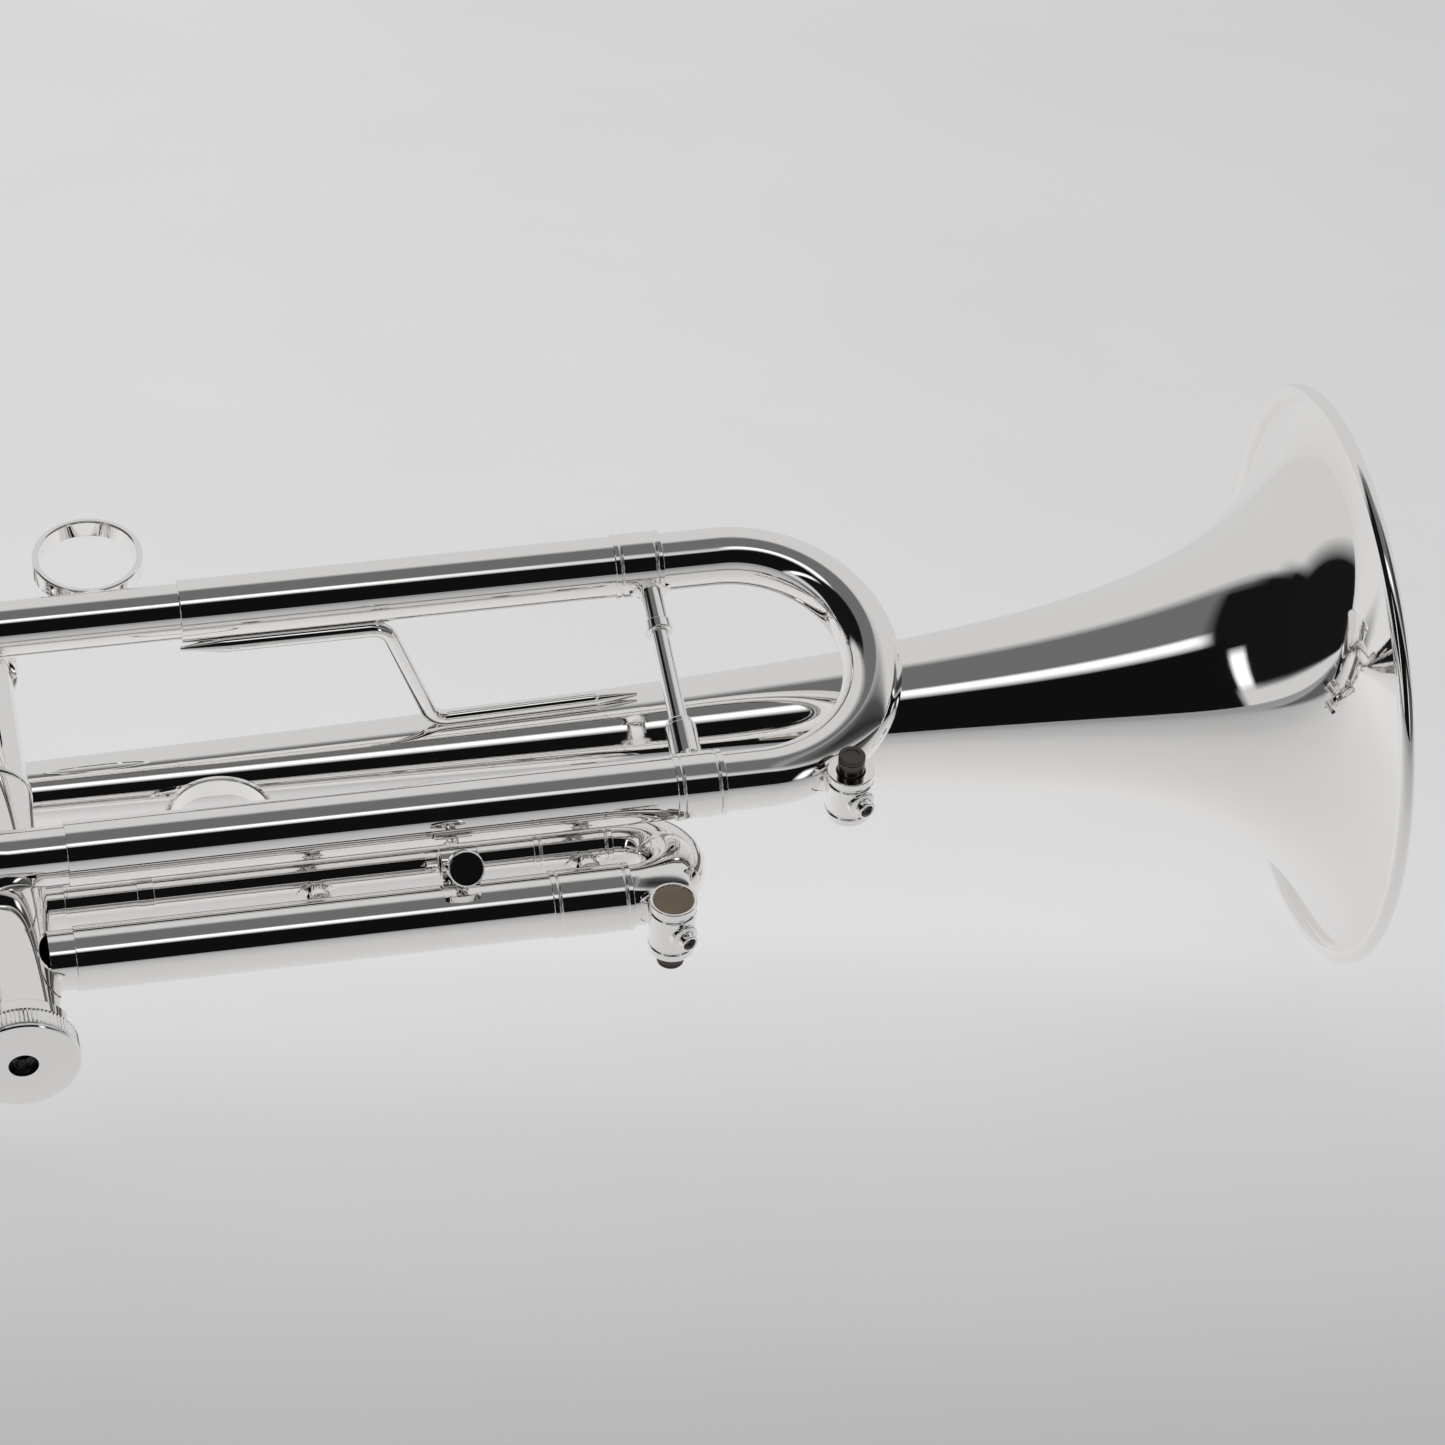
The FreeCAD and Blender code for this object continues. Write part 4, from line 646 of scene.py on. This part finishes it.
def bell():
    """The flared horn, with its edge rolled over a wire."""
    path = straight(BELL_RIM, -BELL_WAY)
    ring = BELL_RADIUS - BEAD
    widening = (ring / BELL_THROAT) ** (1 / BELL_POWER)
    begin = (BELL_THROAT_AT + BELL_OFFSET) / widening - BELL_OFFSET
    outer, inner = [], []
    for step in range(BELL_STEPS + 1):
        behind = begin + (BELL_LENGTH - begin) * (step / BELL_STEPS) ** BELL_CROWDING
        slope = -BELL_POWER * horn_radius(behind) / (behind + BELL_OFFSET)
        normal = Vector((1, -slope)).normalized()
        spot = Vector((horn_radius(behind), behind))
        outer.append((spot, normal))
        inner.append((spot - normal * BELL_WALL, -normal))
    shape = Shape()
    shape.turned(None, path, BELL_SEGMENTS, outline=outer + inner[::-1])
    turns = [math.radians(angle) for angle in range(0, 360, 15)]
    bead = [(Vector((ring + BEAD * math.cos(turn), BEAD + BEAD * math.sin(turn))),
             Vector((math.cos(turn), math.sin(turn)))) for turn in turns]
    shape.turned(None, path, BELL_SEGMENTS, outline=bead)
    piece("bell", shape)


def bell_bow():
    """The bend behind the valves, from the bell's rear end to the first valve."""
    upper = BELL_RIM - BELL_WAY * (BELL_LENGTH + FERRULE_LENGTH)
    across = upper - Vector((upper.x, TAIL_Y, TAIL_Z))
    across -= BELL_WAY * across.dot(BELL_WAY)
    start = place(upper + BELL_WAY * FERRULE_LENGTH, -BELL_WAY, -across)
    path = Path(start).run(FERRULE_LENGTH).bend(across.length / 2, 180).run(VALVES[1] - upper.x)
    inside = 8.0
    shape = Shape().tube(path, BOW, BOW_BORE, high=path.length - inside, segments=96,
                         cope=coped(1))
    piece("bell_bow", shape)
    return upper, across


bell()
BOW_TOP, BOW_ACROSS = bell_bow()


# -------- leadpipe and outer tubes

def along(y, z, x=0.0):
    return straight((x, y, z), X_AXIS)


def ringed_ferrule(shape, path, low, high, outer=FERRULE, bore=OUTER):
    """A ferrule with a raised bead at each end and a fine line inside each bead."""
    bead, line, body, inside = outer / 2, outer / 2 - 0.22, outer / 2 - 0.05, bore / 2 - 0.05
    ends = ((bead, 0.0), (bead, 1.1), (line, 1.25), (line, 1.5), (body, 1.65))
    corners = [(inside, low)] + [(radius, low + step) for radius, step in ends]
    corners += [(radius, high - step) for radius, step in reversed(ends)] + [(inside, high)]
    shape.turned(corners, path, 96, 0.16)


def receiver_and_leadpipe():
    """The taper for a mouthpiece, and the pipe that grows from it to the tuning slide."""
    mouth, waist, ring, nose, end = 7.3, 6.5, 7.0, 6.1, 34.0
    taper, taper_wide, taper_narrow = 24.0, 5.5, 4.9
    pipe, fit, bore = LEAD / 2, LEAD / 2 - 0.4, LEAD_BORE / 2
    piece("mouthpiece_receiver", Shape().turned(
        [(taper_wide, 0.0), (mouth, 0.0), (mouth, 3.4), (waist, 4.6), (waist, 18.0), (ring, 18.8),
         (ring, 20.4), (waist, 21.2), (nose, end), (fit, end), (fit, taper),
         (taper_narrow, taper)], straight(RECEIVER_MOUTH, X_AXIS), 96, 0.4))
    length, grown, lap, seat = TUNING_UPPER[0] - LEAD_REAR, 120.0, 4.0, OUTER_BORE / 2
    piece("leadpipe", Shape().turned(
        [(bore - 0.9, 0.0), (fit, 0.0), (fit, 12.0), (pipe, grown), (pipe, length), (seat, length),
         (seat, length + lap), (bore, length + lap), (bore, grown)],
        along(LEAD_Y, LEAD_Z, LEAD_REAR), 96, 0.12))


def tuning_tubes():
    """The tuning slide's two outer tubes, and the knuckle from the lower one into a valve."""
    for node, y, z, ends in (("tuning_upper_outer_tube", LEAD_Y, LEAD_Z, TUNING_UPPER),
                             ("tuning_lower_outer_tube", TUNING_Y, TUNING_Z, TUNING_LOWER)):
        piece(node, Shape().tube(along(y, z), OUTER, OUTER_BORE, *ends, segments=96, rounding=0.2))
    reach, lap, bend_radius, turn, liner_bore = 11.4, 4.0, 9.0, 62.0, 11.4
    path = Path(place((TUNING_LOWER[0] + lap, TUNING_Y, TUNING_Z), -X_AXIS, Y_AXIS))
    path.run(reach + lap).bend(bend_radius, turn)
    shape = Shape().tube(path, KNUCKLE, BORE, segments=96, rounding=0.05, cope=coped(3))
    shape.tube(path, OUTER_BORE, liner_bore, 0.0, lap)
    piece("tuning_entry_elbow", shape)


def third_tubes():
    """The third slide's outer tubes with their knuckles, and a collar round the upper one."""
    shape, inside, lap, collar = Shape(), 7.6, 1.0, (26.8, 30.2)
    for y, z in (THIRD_UPPER, THIRD_LOWER):
        path = along(y, z)
        shape.tube(path, THIRD_KNUCKLE, BORE, inside, THIRD_REAR + lap, segments=96, rounding=0.05,
                   cope=coped(3))
        shape.tube(path, OUTER, OUTER_BORE, THIRD_REAR, THIRD_END, segments=96, rounding=0.3)
    shape.tube(along(*THIRD_UPPER), OUTER + 0.7, OUTER - 0.1, *collar, segments=96)
    piece("third_slide_outer_tubes", shape)


def side_tubes():
    """The first and second slides' outer tubes, each narrower inside up to its open end."""
    inside, mouth = 6.8, 0.6
    for node, valve, y, heights, way, end in (
            ("first_slide_outer_tubes", 1, FIRST_Y, FIRST_Z, -X_AXIS, FIRST_END),
            ("second_slide_outer_tubes", 2, 0.0, SECOND_Z, -Y_AXIS, SECOND_END)):
        shape = Shape()
        for height in heights:
            path = straight((VALVES[valve], y, height), way)
            shape.tube(path, OUTER, BORE, inside, end - mouth, segments=96, rounding=0.05,
                       cope=coped(valve))
            shape.tube(path, OUTER, OUTER_BORE, end - mouth, end, segments=96, rounding=0.2)
        piece(node, shape)


def slide_ferrules():
    """The ferrules on the outer tubes' ends and at the bell bow's two joints."""
    shape = Shape()
    for (y, z), end, length in (((LEAD_Y, LEAD_Z), TUNING_UPPER[1], FERRULE_LENGTH),
                                ((TUNING_Y, TUNING_Z), TUNING_LOWER[1], FERRULE_LENGTH),
                                (THIRD_UPPER, THIRD_END, THIRD_FERRULE_LENGTH),
                                (THIRD_LOWER, THIRD_END, THIRD_FERRULE_LENGTH)):
        ringed_ferrule(shape, along(y, z), end - length, end)
    begin = VALVES[1] - FIRST_END
    for height in FIRST_Z:
        ringed_ferrule(shape, along(FIRST_Y, height), begin, begin + FERRULE_LENGTH)
    for top in (BOW_TOP, BOW_TOP - BOW_ACROSS):
        ringed_ferrule(shape, straight(top, BELL_WAY), 0.0, FERRULE_LENGTH, bore=BOW)
    piece("slide_ferrules", shape)


receiver_and_leadpipe()
tuning_tubes()
third_tubes()
side_tubes()
slide_ferrules()


# -------- slides

def legs(name):
    """Lower and upper centres of a slide's crook, and the way it pulls."""
    first_x = VALVES[1] - FIRST_CROOK
    return {"tuning": (Vector((TUNING_CROOK, TUNING_Y, TUNING_Z)),
                       Vector((TUNING_CROOK, LEAD_Y, LEAD_Z)), X_AXIS),
            "third": (Vector((THIRD_CROOK, *THIRD_LOWER)), Vector((THIRD_CROOK, *THIRD_UPPER)),
                      X_AXIS),
            "first": (Vector((first_x, FIRST_Y, FIRST_Z[1])),
                      Vector((first_x, FIRST_Y, FIRST_Z[0])), -X_AXIS),
            "second": (Vector((VALVES[2], -SECOND_CROOK, SECOND_Z[1])),
                       Vector((VALVES[2], -SECOND_CROOK, SECOND_Z[0])), -Y_AXIS)}[name]


def slide(name):
    """The moving U of a slide: two inner legs and the crook between them."""
    low, high, way = legs(name)
    leg = INNER_LEGS[name]
    path = Path(place(low - way * leg, way, high - low)).run(leg)
    path.bend((high - low).length / 2, 180).run(leg)
    piece(name + "_slide", Shape().tube(path, INNER, INNER_BORE, segments=96))


def second_slide_knob():
    """A small pull knob on the middle of the second slide's crook."""
    low, high, way = legs("second")
    reach = (high - low).length / 2 + INNER / 2 - 0.8
    neck, knob, length = 2.0, 4.0, 7.0
    piece("second_slide_knob", Shape().turned(
        [(0.0, 0.0), (2.8, 0.0), (neck, 1.6), (neck, 3.2), (3.5, 3.8), (knob, 4.4), (knob, 6.2),
         (3.0, length), (0.0, length)], straight((low + high) / 2 + way * reach, way), 64, 0.6))


def hoop(shape, centre, outer, wall, width, arc=360.0, start=0.0):
    """A flat band bent round Y, whole or part, with softened edges."""
    half, inner = width / 2, outer - wall
    softness, segments = 0.45, 96
    section = rounded([(inner, -half), (outer, -half), (outer, half), (inner, half)], softness)
    count = round(segments * arc / 360)
    rings = []
    for index in range(count if arc == 360.0 else count + 1):
        angle = math.radians(start + arc * index / count)
        around = Vector((math.cos(angle), 0, math.sin(angle)))
        rings.append([shape.add(centre + around * radius + Y_AXIS * height,
                                around * normal.x + Y_AXIS * normal.y)
                      for (radius, height), normal in section])
    for first, second in zip(rings, rings[1:] + (rings[:1] if arc == 360.0 else [])):
        shape.join(first, second)
    if arc != 360.0:
        shape.faces += [tuple(reversed(rings[-1])), tuple(rings[0])]


def bar_foot(shape, x, y, low, high, length, width):
    """A small block between a ring and its tube, narrowing upwards."""
    levels = ((low, 1.0), (low + (high - low) * 0.3, 0.8), (high, 0.72))
    segments = 32
    rings = []
    for height, scale in levels:
        ring = []
        for index in range(segments):
            angle = 2 * math.pi * index / segments
            cosine, sine = math.cos(angle), math.sin(angle)
            along_x = math.copysign(abs(cosine) ** 0.5, cosine) * length / 2 * scale
            along_y = math.copysign(abs(sine) ** 0.5, sine) * width / 2
            ring.append(shape.add(Vector((x + along_x, y + along_y, height)),
                                  Vector((cosine, sine, 0))))
        rings.append(ring)
    for first, second in zip(rings, rings[1:]):
        shape.join(first, second)
    shape.faces += [tuple(reversed(rings[0])), tuple(rings[-1])]


def finger_ring(node, x, y, tube_z, tube):
    """A closed ring standing on a tube."""
    top, gap, foot_length = tube_z + tube / 2, 0.5, 8.0
    shape = Shape()
    hoop(shape, Vector((x, y, top + RING / 2 + gap)), RING / 2, RING_WALL, RING_WIDTH)
    bar_foot(shape, x, y, top - 1.2, top + 1.1, foot_length, RING_WIDTH)
    piece(node, shape)


def first_slide_saddle():
    """Half a hoop, open upwards, for the thumb that pulls the first slide."""
    radius, wall, width, gap, foot_length, foot_width = 11.0, 1.1, 13.0, 1.4, 6.0, 5.0
    x, top = VALVES[1] - FIRST_END - 1.0 - radius, FIRST_Z[0] + INNER / 2
    shape = Shape()
    hoop(shape, Vector((x, FIRST_Y, top + radius + gap)), radius, wall, width, 180.0, 180.0)
    bar_foot(shape, x, FIRST_Y, top - 1.5, top + 2.0, foot_length, foot_width)
    piece("first_slide_saddle", shape)


for slide_name in INNER_LEGS:
    slide(slide_name)
second_slide_knob()
first_slide_saddle()
finger_ring("pinky_ring", 26.4, LEAD_Y, LEAD_Z, LEAD)
finger_ring("third_slide_ring", 46.2, *THIRD_UPPER, OUTER)


# -------- water keys

def paint(obj, start, way, reach, radius, finish):
    """Gives the faces inside a short cylinder another finish."""
    obj.data.materials.append(FINISHES[finish])
    for face in obj.data.polygons:
        spot = PLAYER.inverted() @ face.center - start
        ahead = spot.dot(way)
        if reach[0] < ahead < reach[1] and (spot - way * ahead).length < radius:
            face.material_index = len(obj.data.materials) - 1


def water_key(name):
    """Barrel with its drain nipple, and the sprung button that stands out of it."""
    centre, way, length = KEYS[name]
    closed_end = centre - way * (length / 2)
    path = straight(closed_end, way)
    outer, hole, bore, lip = KEY_BARREL / 2, 2.8, 3.5, length - KEY_LIP
    groove, plug, sunk = outer - 0.35, outer - 0.6, 0.25
    cut = ((outer, 1.6), (groove, 1.8), (groove, 2.3), (outer, 2.5))
    corners = [(0.0, sunk), (plug, sunk), (plug, 0.0), (outer, 0.0), *cut]
    corners += [(radius, length - reach) for radius, reach in reversed(cut)]
    corners += [(outer, length), (hole, length), (hole, lip), (bore, lip), (bore, KEY_LIP),
                (0.0, KEY_LIP)]
    shape = Shape().turned(corners, path, 96, 0.3)
    down = Vector((0.35, 0, -1)).normalized()
    root, nipple, drain = 2.9, 1.9, 1.3
    low, tip, depth = outer - 1.2, outer + 2.2, outer + 0.35
    shape.turned([(drain, low), (root, low), (root, outer + 0.3), (nipple, outer + 0.7),
                  (nipple, tip), (drain, tip), (drain, depth), (0.0, depth)],
                 straight(centre, down), 64, 0.25)
    barrel = piece(name + "_water_key_barrel", shape)
    paint(barrel, closed_end, way, (0.0, sunk + HAIR), plug - HAIR, "key_plug")
    paint(barrel, centre, down, (depth - HAIR, depth + HAIR), drain - HAIR, "key_button")
    stem, neck, flange, flange_height = KEY_BUTTON / 2, KEY_BUTTON / 2 - 0.15, 3.4, 2.2
    head, top = lip - HAIR, length + KEY_PROUD
    base = head - flange_height
    piece(name + "_water_key_button", Shape().turned(
        [(0.0, base), (flange, base), (flange, head), (stem, head), (stem, top - 0.9),
         (neck, top - 0.8), (neck, top - 0.6), (stem, top - 0.5), (stem, top), (stem - 1.0, top),
         (stem - 1.2, top - 0.12), (0.0, top - 0.15)], path, 64, 0.2))


for key_name in KEYS:
    water_key(key_name)


# -------- springs

def spring(node):
    """A coil copied from its CAD node into a mesh of its own, riding on its valve's or key's body."""
    source = frame["nodes"][node]
    mesh = source.data.copy()
    mesh.transform(source.matrix_world)
    obj = linked(node + "_coil", mesh)
    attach(obj, BODY_OF[node])
    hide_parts(node)
    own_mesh(obj)


for valve in VALVES:
    spring("valve_spring_%d" % valve)
for key_name in KEYS:
    spring(key_name + "_water_key_spring")


# -------- braces and lyre holder

def z_brace(node, lead_foot, lead_bend, bell_bend, bell_foot, lead_outer):
    """A rod bent like a Z from along the leadpipe, across, and then along the bell."""
    splay, touch = math.tan(math.radians(BELL_SPLAY)), BRACE_RADIUS * 0.6
    tip, point = 2 * BRACE_RADIUS * 2.6, BRACE_RADIUS * 0.25
    behind = BELL_RIM.x - bell_bend
    lead = LEAD_Y + math.sqrt((lead_outer / 2 + touch) ** 2 - BRACE_DROP ** 2)
    rise = horn_radius(BELL_RIM.x - bell_foot) - horn_radius(behind)
    side = BELL_RIM.y - behind * splay - horn_radius(behind) - touch
    height = LEAD_Z - BRACE_DROP
    corners = [Vector((lead_foot, lead, height)), Vector((lead_bend, lead, height)),
               Vector((bell_bend, side, height)),
               Vector((bell_foot, side + (bell_foot - bell_bend) * splay - rise, height))]
    ways = [(after - before).normalized() for before, after in zip(corners, corners[1:])]
    path = Path(place(corners[0] - ways[0] * tip, ways[0], ways[1]))
    turns = [ways[0].angle(ways[1]), ways[1].angle(ways[2])]
    cuts = [BRACE_BEND * math.tan(turn / 2) for turn in turns]
    path.run(tip + (corners[1] - corners[0]).length - cuts[0])
    path.bend(BRACE_BEND, math.degrees(turns[0]))
    path.run((corners[2] - corners[1]).length - sum(cuts))
    path.bend(BRACE_BEND, math.degrees(turns[1]), 180.0)
    path.run((corners[3] - corners[2]).length - cuts[1] + tip)
    end = path.length
    piece(node, Shape().turned([(0.0, 0.0), (point, 0.0), (BRACE_RADIUS, tip),
                                (BRACE_RADIUS, end - tip), (point, end), (0.0, end)],
                               path, 48, 0.8))


def post(shape, low, high, tube, sections, span=1.0):
    """A turned post between two tubes along X, with a diamond foot on each."""
    way = (high - low).normalized()
    begin = tube / 2 - POST_SUNK
    corners, done = [(0.0, begin)], begin
    for diameter, reach in sections:
        corners += [(diameter / 2, done), (diameter / 2, begin + reach)]
        done = begin + reach
    shape.turned(corners + [(0.0, done)], straight(low, way), 64, 0.35)
    for spot, out in ((low, way), (high, -way)):
        shape.foot(spot, out, tube / 2, FOOT_LENGTH / 2 * span, FOOT_WIDTH / 2 * span,
                   FOOT_THICKNESS)


def tuning_slide_brace():
    """A post with a stepped socket below and a collar near the top."""
    x, shape = 138.2, Shape()
    low, high = Vector((x, TUNING_Y, TUNING_Z)), Vector((x, LEAD_Y, LEAD_Z))
    total = (high - low).length - FERRULE + 2 * POST_SUNK
    collar = total - 8.6
    sections = [(6.3, 7.6), (5.4, 9.0), (3.8, collar - 2.4), (5.5, collar), (4.7, total)]
    post(shape, low, high, FERRULE, sections)
    piece("tuning_slide_brace", shape)


def third_slide_braces():
    """Two short posts, each with a band round its middle."""
    shape, rod, band, half_band = Shape(), 4.2, 5.6, 1.2
    for x, tube in ((62.0, OUTER), (116.0, FERRULE)):
        low, high = Vector((x, *THIRD_LOWER)), Vector((x, *THIRD_UPPER))
        total = (high - low).length - tube + 2 * POST_SUNK
        sections = [(rod, total / 2 - half_band), (band, total / 2 + half_band), (rod, total)]
        post(shape, low, high, tube, sections, 0.95)
    piece("third_slide_braces", shape)


def lyre_parts():
    """The lyre's socket on two feet, and the thumb screw that clamps it."""
    centre = Vector((89.2, -8.6, 32.6))
    bore, socket, half = 2.1, 3.2, 3.8
    shape = Shape().turned([(bore, -half), (socket, -half), (socket, half), (bore, half)],
                           straight(centre, X_AXIS), 64)
    thick, thin, sunk, half_length, half_width = 2.2, 1.4, 0.2, 3.9, 3.15
    for y, z in (THIRD_LOWER, THIRD_UPPER):
        leg = Vector((centre.x, y, z))
        way = (centre - leg).normalized()
        low, high = OUTER / 2 - sunk, (centre - leg).length - 2.6
        shape.turned([(0.0, low), (thick, low), (thin, high), (0.0, high)], straight(leg, way), 48,
                     0.3)
        shape.foot(leg, way, OUTER / 2, half_length, half_width, FOOT_THICKNESS)
    piece("lyre_holder", shape)
    way = PLAYER_TURN.transposed() @ joint_axis("lyre_screw_turn")
    begin, thread, shank, rim, head = 2.4, 1.3, 5.4, 3.6, 9.0
    piece("lyre_screw", Shape().turned(
        [(0.0, 0.0), (thread, 0.0), (thread, shank), (rim - 0.6, shank), (rim, shank + 0.5),
         (rim, head - 0.3), (rim - 0.25, head), (0.0, head)],
        straight(centre + way * begin, way), 96, 0.1))


# The two feet and bends of each Z brace, from the leadpipe to the bell, by their X.
z_brace("front_z_brace", 51.0, 84.0, 94.0, 128.0, OUTER)
z_brace("rear_z_brace", -122.0, -92.0, -84.0, -67.0, LEAD)
tuning_slide_brace()
third_slide_braces()
lyre_parts()


# -------- studio

FLOOR_HALF = 6.0
# The table's painted light from front to back, darker to the front as painted shade: the place along Y in metres,
# and the tone.
FLOOR_LIGHT_FALLOFF = ((-3.0, 0.2), (-0.9, 0.19), (-0.5, 0.28), (-0.3, 0.34), (-0.18, 0.385),
               (-0.135, 0.45), (-0.06, 0.535), (-0.04, 0.56), (0.01, 0.625), (0.13, 0.6),
               (0.6, 0.585), (2.0, 0.55))
# Painted shade past the receiver, a dark patch that only reflections see: X and Y from, to and softness.
PAINTED_SHADE_X, PAINTED_SHADE_Y, PAINTED_SHADE_TONE = (-3.0, -0.34, 0.08), (-0.6, 0.2, 0.1), 0.03


def floor_material():
    """A pale light table of painted light: brightest under the trumpet, with painted shade falling off to the
    front and the right.
    """
    made, nodes, place = material("pale_floor")
    parts = nodes.add("ShaderNodeSeparateXYZ", {0: place}).outputs
    front, back = FLOOR_LIGHT_FALLOFF[0][0], FLOOR_LIGHT_FALLOFF[-1][0]
    depth = nodes.between(parts["Y"], 0.0, 1.0, front, back)
    stops = [((y - front) / (back - front), grey(tone)) for y, tone in FLOOR_LIGHT_FALLOFF]
    # painted shade: the floor's glow dims towards the right
    side = nodes.between(parts["X"], 1.0, 0.88, 0.05, 0.5)
    # painted shade on the floor, kept out of the camera's direct view so only reflections show it
    painted_shade = nodes.math("MULTIPLY", nodes.within(parts["X"], *PAINTED_SHADE_X),
                       nodes.within(parts["Y"], *PAINTED_SHADE_Y))
    reflected = nodes.math("SUBTRACT", 1.0, nodes.camera_ray())
    painted_shade = nodes.math("MULTIPLY", painted_shade, reflected)
    grain = nodes.between(nodes.noise(place, 9.0, 4.0), 0.985, 1.015)
    lit = nodes.math("MULTIPLY", side, nodes.between(painted_shade, 1.0, PAINTED_SHADE_TONE, 0.0, 1.0))
    strength = nodes.math("MULTIPLY", lit, grain)
    # the floor glows with painted light, graded as above
    light = nodes.add("ShaderNodeEmission",
                      {"Color": nodes.ramp(depth, stops), "Strength": strength})
    matt = nodes.add("ShaderNodeBsdfDiffuse", {"Color": (0.3, 0.3, 0.305, 1)})
    both = nodes.add("ShaderNodeAddShader", {0: light.outputs[0], 1: matt.outputs[0]})
    nodes.add("ShaderNodeOutputMaterial", {"Surface": both.outputs[0]})
    return made


def floor():
    """One flat square that the trumpet lies on."""
    mesh = bpy.data.meshes.new("floor")
    corners = [(x * FLOOR_HALF, y * FLOOR_HALF, CAD_BOX[0][2])
               for x, y in ((-1, -1), (1, -1), (1, 1), (-1, 1))]
    mesh.from_pydata(corners, [], [(0, 1, 2, 3)])
    mesh.materials.append(floor_material())
    linked("floor", mesh)


TENT = 0.62
BACKDROP = (0.66, 0.665, 0.675, 1)
LEAN = 18.0
# What stands around the trumpet, painted one over another on the white tent: the angle up from
# the front, leaning with X by LEAN degrees, and the share of X in the direction, each as from, to
# and softness, and then the tone.
SURROUNDINGS = (
    ((58, 104, 5), (-1.2, 0.1, 0.04), 0.15),     # the grey ceiling
    ((58, 95, 5), (0.1, 1.2, 0.04), 0.15),
    ((62, 90, 16), (0.22, 1.2, 0.1), 0.015),     # the room to the right
    ((2, 98, 4), (-1.2, -0.54, 0.03), 0.007),    # the dark end of the room
    ((2, 103, 4), (-1.2, -0.7, 0.05), 0.007),
    ((2, 112, 6), (-1.2, -0.8, 0.05), 0.007),
    ((8, 240, 8), (-1.2, -0.87, 0.03), 0.008),
    ((-90, 49.5, 2), (-0.61, 1.2, 0.02), 0.005), # the dark room in front
    ((-90, 40, 6), (0.54, 1.2, 0.06), 0.09),     # a dim wall in it
    ((10, 33, 5), (0.4, 0.5, 0.03), 1.3),        # a window
    ((53.5, 61, 2), (-0.52, 0.03, 0.04), 1.2),   # the tent's lit upper edge
    ((3, 38, 5), (-0.69, -0.62, 0.012), 1.2))    # its lit left edge


def studio_light():
    """A white tent, open at the front to a dark room. The camera itself sees a plain backdrop."""
    world = bpy.data.worlds.new("studio")
    bpy.context.scene.world = world
    world.use_nodes = True
    nodes = Nodes(world.node_tree)
    direction = nodes.add("ShaderNodeTexCoord").outputs["Generated"]
    parts = nodes.add("ShaderNodeSeparateXYZ", {0: direction}).outputs
    ahead = nodes.math("MULTIPLY", parts["Y"], -1.0)
    angle = nodes.math("DEGREES", nodes.math("ARCTAN2", parts["Z"], ahead))
    leaning = nodes.math("ADD", angle, nodes.math("MULTIPLY", parts["X"], LEAN))
    colour = grey(TENT)
    for height, side, tone in SURROUNDINGS:
        mask = nodes.math("MULTIPLY", nodes.within(leaning, *height),
                          nodes.within(parts["X"], *side))
        colour = nodes.mix(mask, colour, grey(tone))
    seen = nodes.mix(nodes.camera_ray(), colour, BACKDROP)
    background = nodes.add("ShaderNodeBackground", {"Color": seen, "Strength": 1.0})
    nodes.add("ShaderNodeOutputWorld", {"Surface": background.outputs[0]})


floor()
studio_light()


# -------- camera

# Fitted to the photo, in the player's frame.
CAMERA_PLACE = Vector((-43.7, -765.8, -706.2))
CAMERA_AHEAD = Vector((0.1752, 0.6904, 0.7019))
CAMERA_DOWN = Vector((-0.1058, 0.7220, -0.6838))
CAMERA_LENS = 135.06
SENSOR = 36.0


def camera():
    data = bpy.data.cameras.new("camera")
    data.lens, data.sensor_width = CAMERA_LENS, SENSOR
    obj = linked("camera", data)
    back = -(PLAYER_TURN @ CAMERA_AHEAD).normalized()
    up = -(PLAYER_TURN @ CAMERA_DOWN)
    right = up.cross(back).normalized()
    up = back.cross(right)
    obj.matrix_world = (Matrix.Translation(PLAYER @ CAMERA_PLACE)
                        @ Matrix((right, up, back)).transposed().to_4x4())
    bpy.context.scene.camera = obj
    bpy.context.scene.view_settings.view_transform = "Standard"


camera()
